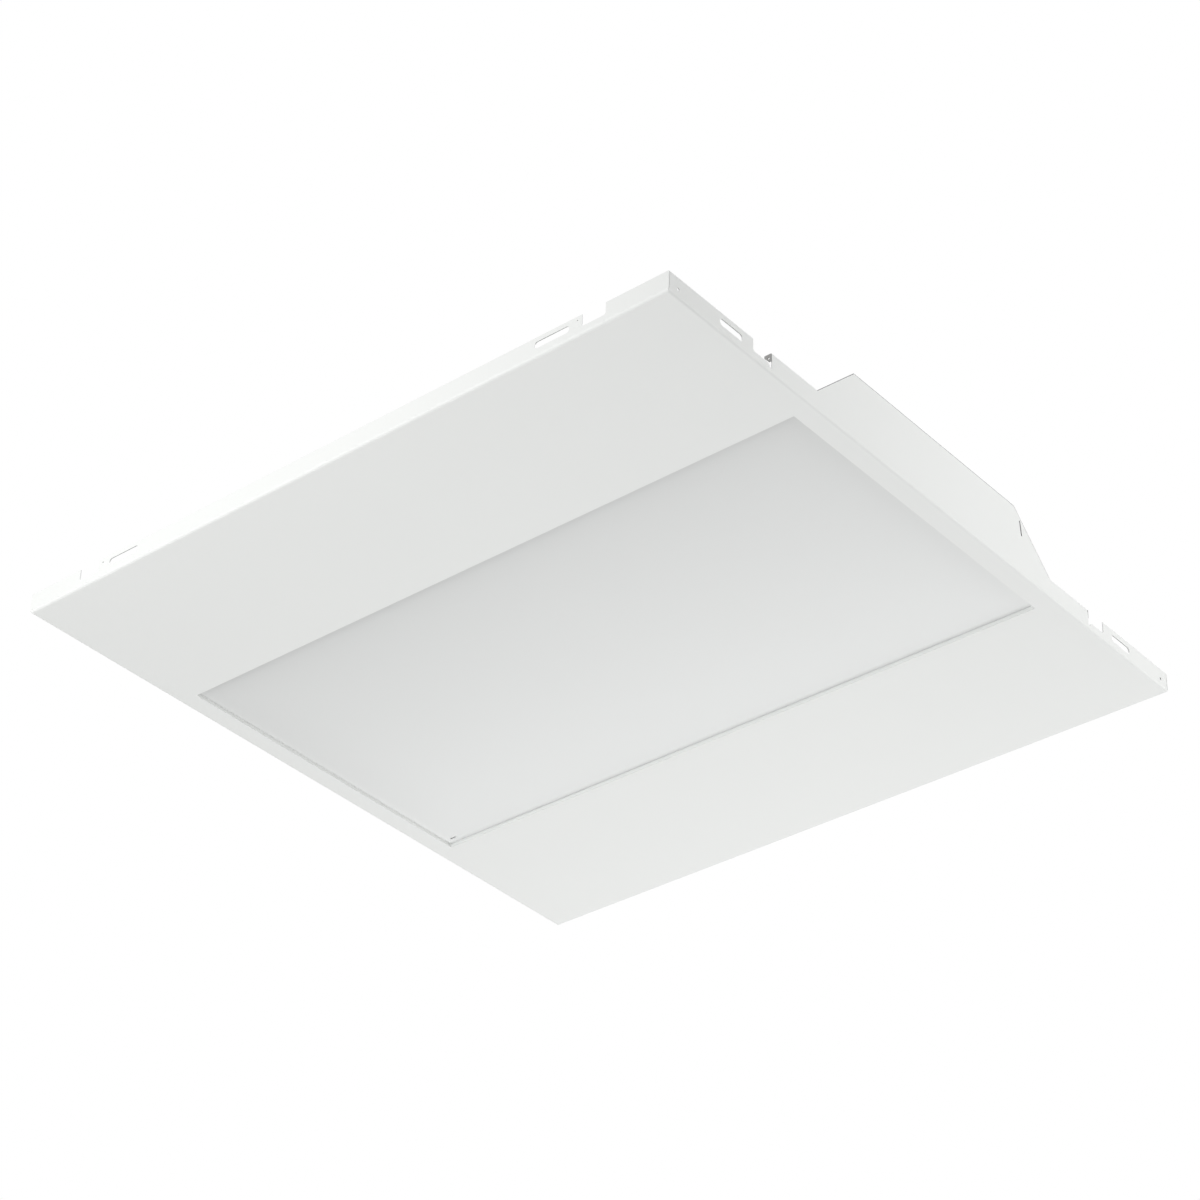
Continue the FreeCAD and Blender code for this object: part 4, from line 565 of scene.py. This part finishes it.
def brick(bm, low, high, rounding):
    """A block between two corners, in millimetres, with rounded edges."""
    made = bmesh.ops.create_cube(bm, size=1.0)["verts"]
    for vert in made:
        share = vert.co + Vector((0.5, 0.5, 0.5))
        vert.co = [MM * (a + (b - a) * part) for a, b, part in zip(low, high, share)]
    edges = list({edge for vert in made for edge in vert.link_edges})
    bmesh.ops.bevel(bm, geom=edges, offset=rounding * MM, segments=2, profile=0.5, affect="EDGES")


def ribbon(bm, width, points, base, rise):
    """A flat track in millimetres, with mitred corners, that stands a little over the board."""
    spots = [Vector(point) for point in points]
    sides = []
    for number, spot in enumerate(spots):
        before = spots[max(number - 1, 0)]
        after = spots[min(number + 1, len(spots) - 1)]
        into = (spot - before).normalized() if number else (after - spot).normalized()
        out = (after - spot).normalized() if number < len(spots) - 1 else into
        across = Vector((-(into + out).y, (into + out).x)).normalized()
        reach = width / 2 / max(across.dot(Vector((-into.y, into.x))), 0.5)
        sides.append((spot + across * reach, spot - across * reach))
    rings = []
    for left, right in sides:
        rings.append([bm.verts.new((x * MM, y * MM, z * MM)) for x, y, z in (
            (left.x, left.y, base), (left.x, left.y, base + rise),
            (right.x, right.y, base + rise), (right.x, right.y, base))])
    join_rings(bm, rings)
    bm.faces.new(rings[0])
    bm.faces.new(reversed(rings[-1]))


green_mask = finish_material("green_mask", moulded_plastic, 0.01 * MM, [
    ("Colour", (0.02, 0.16, 0.055, 1)), ("Drift", 0.35), ("Gloss", 0.22)])
track_mask = finish_material("track_mask", moulded_plastic, 0.01 * MM, [
    ("Colour", (0.035, 0.24, 0.085, 1)), ("Drift", 0.2), ("Gloss", 0.2)])
chip_black = finish_material("chip_black", moulded_plastic, 0.01 * MM, [
    ("Colour", (0.022, 0.022, 0.024, 1)), ("Drift", 0.3), ("Gloss", 0.45)])
dress(green_mask, "driver_board")

tracks = bmesh.new()
for width, *points in TRACKS:
    ribbon(tracks, width, points, BOARD_TOP - TRACK_RISE, 2 * TRACK_RISE)
made_piece("board_tracks", tracks, track_mask)

small_parts = bmesh.new()
part_ends = bmesh.new()
for x, y, long, wide, tall in SMALL_PARTS:
    low = (x - long / 2, y - wide / 2, BOARD_TOP)
    brick(small_parts, low, (x + long / 2, y + wide / 2, BOARD_TOP + tall), rounding=0.08)
    lengthwise = long > wide
    reach = (long / 2 - CAP_SET_IN, 0) if lengthwise else (0, wide / 2 - CAP_SET_IN)
    half = (CAP_HALF, wide / 2 + CAP_PROUD) if lengthwise else (long / 2 + CAP_PROUD, CAP_HALF)
    for end in (-1, 1):
        middle = (x + end * reach[0], y + end * reach[1])
        brick(part_ends, (middle[0] - half[0], middle[1] - half[1], BOARD_TOP),
              (middle[0] + half[0], middle[1] + half[1], BOARD_TOP + tall + CAP_PROUD), rounding=0.1)

x, y, long, wide, tall = CONTROL_CHIP
chip_foot = BOARD_TOP + CHIP_LIFT
brick(small_parts, (x, y, chip_foot), (x + long, y + wide, chip_foot + tall), rounding=0.15)
for number in range(CHIP_LEGS):
    leg = x + LEG_INSET + number * LEG_STEP
    for low, high in ((y - LEG_REACH, y + 0.1), (y + wide - 0.1, y + wide + LEG_REACH)):
        brick(part_ends, (leg - LEG_HALF, low, BOARD_TOP), (leg + LEG_HALF, high, BOARD_TOP + LEG_TALL),
              rounding=0.05)
made_piece("board_small_parts", small_parts, chip_black)
made_piece("board_part_ends", part_ends, solder)

# TRANSFORMER
# Two ferrite halves glued round a wound bobbin. Yellow polyester tape covers the winding, and tinned
# pins go from the bobbin's rails into the board.

COIL_START = (4.0 * MM, 190.96 * MM, 15.8 * MM)
CORE_LOW = (-10.0, 195.96, BOARD_TOP)
CORE_HIGH = (18.0, 221.96, BOARD_TOP + 18.0)
CORE_SPLIT = 208.96
SPLIT_GAP = 0.08
WINDOW_LOW = (-4.6, 200.5, 17.0)
WINDOW_HIGH = (12.6, 217.4, 26.0)
PIN_ROWS = (193.4, 224.5)
PIN_START = -2.9
PIN_STEP = 4.6
PIN_COUNT = 4
PIN = ((0, 0), (0.9, 0), (0.5, 0.5), (0.35, 0.7), (0.35, 3.0), (0, 3.0))
TAPE_LAYERS = ((0, 0), (7.9, 0), (8.3, 0.3), (8.3, 3.0), (8.6, 3.4), (8.6, 8.6), (8.4, 8.9), (8.4, 12.0),
               (8.6, 12.3), (8.6, 23.7), (8.4, 24.0), (8.4, 27.1), (8.6, 27.4), (8.6, 32.6), (8.3, 33.0),
               (8.3, 35.7), (7.9, 36), (0, 36))
ALONG_Y = Vector((0, 1, 0))

yellow_tape = finish_material("yellow_tape", moulded_plastic, 0.01 * MM, [
    ("Colour", (0.72, 0.52, 0.07, 1)), ("Gloss", 0.3)])
ferrite = finish_material("ferrite", moulded_plastic, 0.02 * MM, [
    ("Colour", (0.045, 0.045, 0.048, 1)), ("Drift", 0.35), ("Grain", 1400.0), ("Gloss", 0.42)])


def cut_out(bm, holes):
    """The first form with the second cut out of it."""
    pair = []
    for number, form in enumerate((bm, holes)):
        bmesh.ops.recalc_face_normals(form, faces=form.faces)
        mesh = bpy.data.meshes.new(f"cut_{number}")
        form.to_mesh(mesh)
        form.free()
        pair.append(bpy.data.objects.new(f"cut_{number}", mesh))
        bpy.context.scene.collection.objects.link(pair[-1])
    saw = pair[0].modifiers.new("saw", "BOOLEAN")
    saw.operation = "DIFFERENCE"
    saw.solver = "EXACT"
    saw.object = pair[1]
    bpy.context.view_layer.update()
    cut = pair[0].evaluated_get(bpy.context.evaluated_depsgraph_get())
    result = bmesh.new()
    result.from_mesh(cut.to_mesh())
    for leftover in pair:
        bpy.data.objects.remove(leftover)
    return result


coil = bmesh.new()
revolve(coil, in_metres(TAPE_LAYERS), COIL_START, up=ALONG_Y, steps=40)
made_piece("transformer_coil", coil, yellow_tape, stands_for=("driver_transformer",))

core = bmesh.new()
brick(core, CORE_LOW, (CORE_HIGH[0], CORE_SPLIT - SPLIT_GAP, CORE_HIGH[2]), rounding=0.5)
brick(core, (CORE_LOW[0], CORE_SPLIT + SPLIT_GAP, CORE_LOW[2]), CORE_HIGH, rounding=0.5)
window = bmesh.new()
brick(window, WINDOW_LOW, WINDOW_HIGH, rounding=0.6)
made_piece("transformer_core", cut_out(core, window), ferrite)

pins = bmesh.new()
for y in PIN_ROWS:
    for number in range(PIN_COUNT):
        x = PIN_START + number * PIN_STEP
        revolve(pins, in_metres(PIN), (x * MM, y * MM, BOARD_TOP * MM), steps=10)
made_piece("transformer_pins", pins, solder)

# CHOKE
# A ferrite ring wound with enamelled copper wire, lying flat on the board.

CHOKE_MIDDLE = Vector((-42.0, 199.96, 10.4)) * MM
CHOKE_RING = 7.5 * MM
CHOKE_CORE = 2.7 * MM
CHOKE_WIRE = 0.42 * MM
CHOKE_TURNS = 34
WOUND_SHARE = 0.9
WIRE_SEAT = 1.02
RING_STEPS = 48
CORE_STEPS = 16
POINTS_A_TURN = 14

enamelled_copper = finish_material("enamelled_copper", moulded_plastic, 0.004 * MM, [
    ("Colour", (0.62, 0.22, 0.06, 1)), ("Gloss", 0.16)], [("Metallic", 0.7)])


def on_ring(around, about, radius):
    """A point at a radius from the choke ring's middle line."""
    reach = CHOKE_RING + radius * math.cos(about)
    spot = Vector((reach * math.cos(around), reach * math.sin(around), radius * math.sin(about)))
    return CHOKE_MIDDLE + spot


def tube_along(bm, points, radius, steps):
    """A round wire through a row of points, closed at both ends."""
    rings = []
    side = Vector((0, 0, 1))
    for number, point in enumerate(points):
        ahead = (points[min(number + 1, len(points) - 1)] - points[max(number - 1, 0)]).normalized()
        side = (side - ahead * side.dot(ahead)).normalized()
        third = ahead.cross(side)
        rings.append([bm.verts.new(point + radius * (side * math.cos(a) + third * math.sin(a)))
                      for a in (2 * math.pi * step / steps for step in range(steps))])
    join_rings(bm, rings)
    bm.faces.new(reversed(rings[0]))
    bm.faces.new(rings[-1])


ring_core = bmesh.new()
rows = []
for number in range(RING_STEPS):
    around = 2 * math.pi * number / RING_STEPS
    rows.append([ring_core.verts.new(on_ring(around, 2 * math.pi * step / CORE_STEPS, CHOKE_CORE))
                 for step in range(CORE_STEPS)])
join_rings(ring_core, rows + rows[:1])
made_piece("choke_core", ring_core, ferrite, stands_for=("driver_choke",))

winding = bmesh.new()
winding_points = []
for number in range(CHOKE_TURNS * POINTS_A_TURN + 1):
    share = number / (CHOKE_TURNS * POINTS_A_TURN)
    winding_points.append(on_ring(2 * math.pi * WOUND_SHARE * share, 2 * math.pi * CHOKE_TURNS * share,
                                  CHOKE_CORE + CHOKE_WIRE * WIRE_SEAT))
tube_along(winding, winding_points, CHOKE_WIRE, steps=8)
made_piece("choke_winding", winding, enamelled_copper)

# CAPACITORS
# Aluminium cans in shrunk dark sleeves, rolled in above a rubber seal, with a scored vent on top. A can is
# its middle, radius and height in millimetres.

CANS = (
    (-42.0, 224.96, 8.0, 20.0),
    (52.0, 224.96, 5.0, 13.0),
    (37.6, 224.96, 5.0, 13.0),
    (52.0, 200.96, 5.0, 13.0))
TOP_SET_IN = 1.0
TOP_SUNK = 0.1
VENT_ARM = 0.62
VENT_HALF = 0.12

sleeve_film = finish_material("sleeve_film", moulded_plastic, 0.004 * MM, [
    ("Colour", (0.016, 0.022, 0.04, 1)), ("Drift", 0.3), ("Gloss", 0.2)])
can_metal = plated_metal("can_metal", (0.72, 0.73, 0.74, 1), (0.70, 0.70, 0.69, 1), 0.28, patch=260.0)


def sleeve_outline(radius, tall):
    """A can's sleeve: shrunk in at the foot, drawn into the groove over the seal, curled in at the top."""
    groove = radius - 0.35
    return [(0, 0.2), (radius * 0.93, 0.2), (radius - 0.25, 0.5), (radius, 1.0), (radius, 1.9),
            (groove, 2.3), (groove, 2.7), (radius, 3.1), (radius, tall - 0.9), (radius - 0.3, tall - 0.25),
            (radius - 0.8, tall), (radius - TOP_SET_IN, tall - 0.15), (0, tall - 0.15)]


def top_outline(radius, tall):
    """The can's bare metal top inside the sleeve's curl, with its edge bevelled."""
    edge = radius - TOP_SET_IN
    return [(0, tall - 0.3), (edge, tall - 0.3), (edge, tall - 0.12), (edge - 0.3, tall - TOP_SUNK),
            (0, tall - TOP_SUNK)]


sleeves = bmesh.new()
can_tops = bmesh.new()
vents = bmesh.new()
for x, y, radius, tall in CANS:
    base = (x * MM, y * MM, BOARD_TOP * MM)
    revolve(sleeves, in_metres(sleeve_outline(radius, tall)), base, steps=36)
    revolve(can_tops, in_metres(top_outline(radius, tall)), base, steps=36)
    arm = radius * VENT_ARM
    top = BOARD_TOP + tall - TOP_SUNK
    for half in ((VENT_HALF, arm), (arm, VENT_HALF)):
        low = (x - half[0], y - half[1], top - 0.02)
        brick(vents, low, (x + half[0], y + half[1], top + 0.04), rounding=0.02)
made_piece("capacitor_sleeves", sleeves, sleeve_film, stands_for=("driver_capacitors",))
made_piece("capacitor_tops", can_tops, can_metal)
made_piece("capacitor_vents", vents, chip_black)

# TERMINAL BLOCKS
# Moulded nylon blocks at both ends of the driver. Each way has a round funnel for a wire and a square
# hole above it for the release blade. A block is its two ends and the way that it faces.

TERMINALS = ((-81.0, -69.0, -1), (79.0, 91.0, 1))
TERMINAL_SIDES = (191.96, 213.96)
TERMINAL_TALL = 11.0
WAYS = 4
WAY_STEP = 5.0
FUNNEL_RISE = 3.6
BLADE_RISE = (7.0, 9.2)
BLADE_HALF = 1.1
BLADE_DEEP = 3.0
FUNNEL = ((0, -5.0), (1.5, -5.0), (1.5, -1.2), (2.0, -0.4), (2.1, 0.3), (0, 0.3))

terminal_nylon = finish_material("terminal_nylon", moulded_plastic, 0.006 * MM, [
    ("Colour", (0.74, 0.74, 0.70, 1)), ("Gloss", 0.38)])
blocks = bmesh.new()
entries = bmesh.new()
near, far = TERMINAL_SIDES
sill, lintel = (BOARD_TOP + rise for rise in BLADE_RISE)
for low, high, outward in TERMINALS:
    brick(blocks, (low, near, BOARD_TOP), (high, far, BOARD_TOP + TERMINAL_TALL), rounding=0.35)
    face = high if outward > 0 else low
    inner, outer = sorted((face - outward * BLADE_DEEP, face + outward * 0.5))
    for way in range(WAYS):
        y = (near + far) / 2 + (way - (WAYS - 1) / 2) * WAY_STEP
        mouth = (face * MM, y * MM, (BOARD_TOP + FUNNEL_RISE) * MM)
        revolve(entries, in_metres(FUNNEL), mouth, up=Vector((outward, 0, 0)), steps=20)
        brick(entries, (inner, y - BLADE_HALF, sill), (outer, y + BLADE_HALF, lintel), rounding=0.1)
terminal_form = cut_out(blocks, entries)
made_piece("terminal_blocks", terminal_form, terminal_nylon,
           stands_for=("driver_terminals",))

# WELD STUDS AND NUTS
# Copper-flashed M4 studs welded to the pan hold the driver and the ground ring. The nuts are plain
# hexagons with chamfered corners. A stud is its middle and the height of its nut's seat in millimetres.

STUDS = ((-82.5, 211.96, 1.7), (92.5, 211.96, 1.7), (116.0, 235.96, 1.5))
STUD_FOOT = 0.7
STUD_TALL = 6.0
STUD_RADIUS = 2.0
THREAD_PITCH = 0.7
THREAD_DEPTH = 0.28
ROWS_A_PITCH = 8
TIP_BEVEL = 0.25
TIP_TALL = 0.4
NUT_FLATS = 7.0
NUT_TALL = 3.0
NUT_HOLE_BEVEL = 0.25
NUT_FACE = NUT_FLATS / 2 * 0.97
NUT_BEVEL = 0.45

copper_flash = plated_metal("copper_flash", (0.68, 0.34, 0.19, 1), (0.58, 0.26, 0.13, 1), 0.3)


def threaded_rod(bm, centre, low, high, radius):
    """A rod in millimetres whose wall rises and falls along a real helix, faded at both ends."""
    steps = 24
    levels = round((high - low) / THREAD_PITCH * ROWS_A_PITCH)
    rings = []
    for level in range(levels + 1):
        height = low + (high - low) * level / levels
        fade = min(1.0, (high - height) / THREAD_PITCH, (height - low) / THREAD_PITCH)
        bevel = TIP_BEVEL * (1 - min(1.0, (high - height) / TIP_TALL))
        ring = []
        for step in range(steps):
            phase = (height / THREAD_PITCH - step / steps) % 1
            reach = radius - THREAD_DEPTH * abs(2 * phase - 1) * fade - bevel
            angle = 2 * math.pi * step / steps
            spot = (centre[0] + reach * math.cos(angle), centre[1] + reach * math.sin(angle), height)
            ring.append(bm.verts.new(Vector(spot) * MM))
        rings.append(ring)
    join_rings(bm, rings)
    bm.faces.new(reversed(rings[0]))
    bm.faces.new(rings[-1])


def chamfered_nut(bm, centre, foot):
    """A hexagon nut in millimetres, its corners cut by a cone on both faces, round its thread's hole."""
    flats = None
    mouth = STUD_RADIUS + NUT_HOLE_BEVEL
    outline = ((STUD_RADIUS, NUT_HOLE_BEVEL), (mouth, 0.0), (NUT_FACE, 0.0), (flats, NUT_BEVEL),
               (flats, NUT_TALL - NUT_BEVEL), (NUT_FACE, NUT_TALL), (mouth, NUT_TALL),
               (STUD_RADIUS, NUT_TALL - NUT_HOLE_BEVEL))
    steps = 36
    rings = []
    for radius, height in outline:
        ring = []
        for step in range(steps):
            angle = 2 * math.pi * step / steps
            off_middle = (angle % (math.pi / 3)) - math.pi / 6
            reach = NUT_FLATS / 2 / math.cos(off_middle) if radius is flats else radius
            spot = (centre[0] + reach * math.cos(angle), centre[1] + reach * math.sin(angle), foot + height)
            ring.append(bm.verts.new(Vector(spot) * MM))
        rings.append(ring)
    join_rings(bm, rings + rings[:1])


studs = bmesh.new()
nuts = bmesh.new()
for x, y, foot in STUDS:
    threaded_rod(studs, (x, y), STUD_FOOT, STUD_FOOT + STUD_TALL, STUD_RADIUS)
    chamfered_nut(nuts, (x, y), foot)
made_piece("threaded_studs", studs, copper_flash, smooth=50, stands_for=("weld_studs",))
made_piece("hexagon_nuts", nuts, zinc_steel, stands_for=("stud_nuts",))

# SUPPLY WIRING
# The black and white supply leads end in push-in connectors, and the green ground lead ends in a ring
# on its own weld stud.

green_jacket = lead_jacket("green_jacket", (0.015, 0.22, 0.05, 1))
amber_nylon = finish_material("amber_nylon", moulded_plastic, 0.003 * MM, [
    ("Colour", (0.74, 0.34, 0.05, 1)), ("Gloss", 0.12)], [("Transmission Weight", 0.35)])
tinned_copper = plated_metal("tinned_copper", (0.70, 0.70, 0.69, 1), (0.68, 0.63, 0.55, 1), 0.22)
dress(black_jacket, "supply_lead_black")
dress(white_jacket, "supply_lead_white")
dress(green_jacket, "ground_lead")
dress(tinned_copper, "ground_ring")
dress(amber_nylon, "wire_connectors")

# SET
# A pale floor far below the light, even white surroundings, and large soft lamps.

FLOOR_DEPTH = 2.7
FLOOR_HALF = 14.0

floor_form = bmesh.new()
for x, y in ((-1, -1), (1, -1), (1, 1), (-1, 1)):
    floor_form.verts.new((x * FLOOR_HALF, y * FLOOR_HALF, -FLOOR_DEPTH))
floor_form.faces.new(floor_form.verts)
floor_mesh = bpy.data.meshes.new("pale_floor")
floor_form.to_mesh(floor_mesh)
floor_form.free()
pale_floor = bpy.data.objects.new("pale_floor", floor_mesh)
bpy.context.scene.collection.objects.link(pale_floor)
pale_floor.data.materials.append(finish_material("floor_paint", powder_coat, 0.0, [
    ("Paint", (0.93, 0.93, 0.93, 1)), ("Gloss", 0.8)]))


def white_surroundings(strength):
    """Seen as plain white, while the light it gives has its own strength."""
    world = bpy.data.worlds.new("surroundings")
    world.use_nodes = True
    tree = world.node_tree
    tree.nodes.clear()
    path = node_in(tree, "LightPath")
    seen = maths(tree, "MAXIMUM", path.outputs["Is Camera Ray"], path.outputs["Is Glossy Ray"])
    seen = maths(tree, "MAXIMUM", seen, path.outputs["Is Transmission Ray"])
    lit = node_in(tree, "Background", color=(1, 1, 1, 1), strength=strength)
    plain = node_in(tree, "Background", color=(1, 1, 1, 1), strength=1.0)
    mix = node_in(tree, "MixShader", [(0, seen), (1, lit.outputs[0]), (2, plain.outputs[0])])
    node_in(tree, "OutputWorld", [("Surface", mix.outputs[0])])
    return world


AMBIENT = 0.315
bpy.context.scene.world = white_surroundings(AMBIENT)


def soft_lamp(name, place, target, side, power):
    """A square area lamp aimed at a point, not itself in view."""
    lamp = bpy.data.lights.new(name, "AREA")
    lamp.shape = "SQUARE"
    lamp.size = side
    lamp.energy = power
    holder = bpy.data.objects.new(name, lamp)
    holder.location = place
    holder.rotation_euler = (Vector(target) - Vector(place)).to_track_quat("-Z", "Y").to_euler()
    holder.visible_camera = False
    bpy.context.scene.collection.objects.link(holder)


soft_lamp("right_lamp", (1.7, 1.2, -0.1), (0.3, 0.3, 0), 1.2, 12.8)
soft_lamp("near_lamp", (1.0, 0.12, 0.1), (0.3, 0, 0), 0.6, 2.2)
soft_lamp("far_lamp", (0.2, 1.3, -0.8), (0.1, 0.2, 0), 1.0, 4.6)
soft_lamp("front_lamp", (-0.2, -1.3, -0.22), (-0.1, -0.3, 0), 0.8, 10.5)
soft_lamp("low_lamp", (-0.6, -0.9, -2.1), (0, 0, 0), 1.8, 5.2)
soft_lamp("low_far_lamp", (-0.5, 0.9, -1.2), (-0.1, 0.2, 0), 1.0, 7.5)
soft_lamp("top_lamp", (-0.8, 1.2, 2.2), (0, 0, 0), 1.8, 34)

# CAMERA
# Solved from the photograph's corners: below the light, looking up at its near corner.

lens_data = bpy.data.cameras.new("camera")
lens_data.lens = 99.516
lens_data.sensor_width = 36.0
lens_data.clip_end = 60.0
camera = bpy.data.objects.new("camera", lens_data)
camera.location = (1.33847369, -1.57602926, -1.35775541)
camera.rotation_euler = [math.radians(angle) for angle in (124.21661671, -1.24081335, 39.63598974)]
bpy.context.scene.collection.objects.link(camera)
bpy.context.scene.camera = camera
bpy.context.scene.view_settings.view_transform = "Standard"
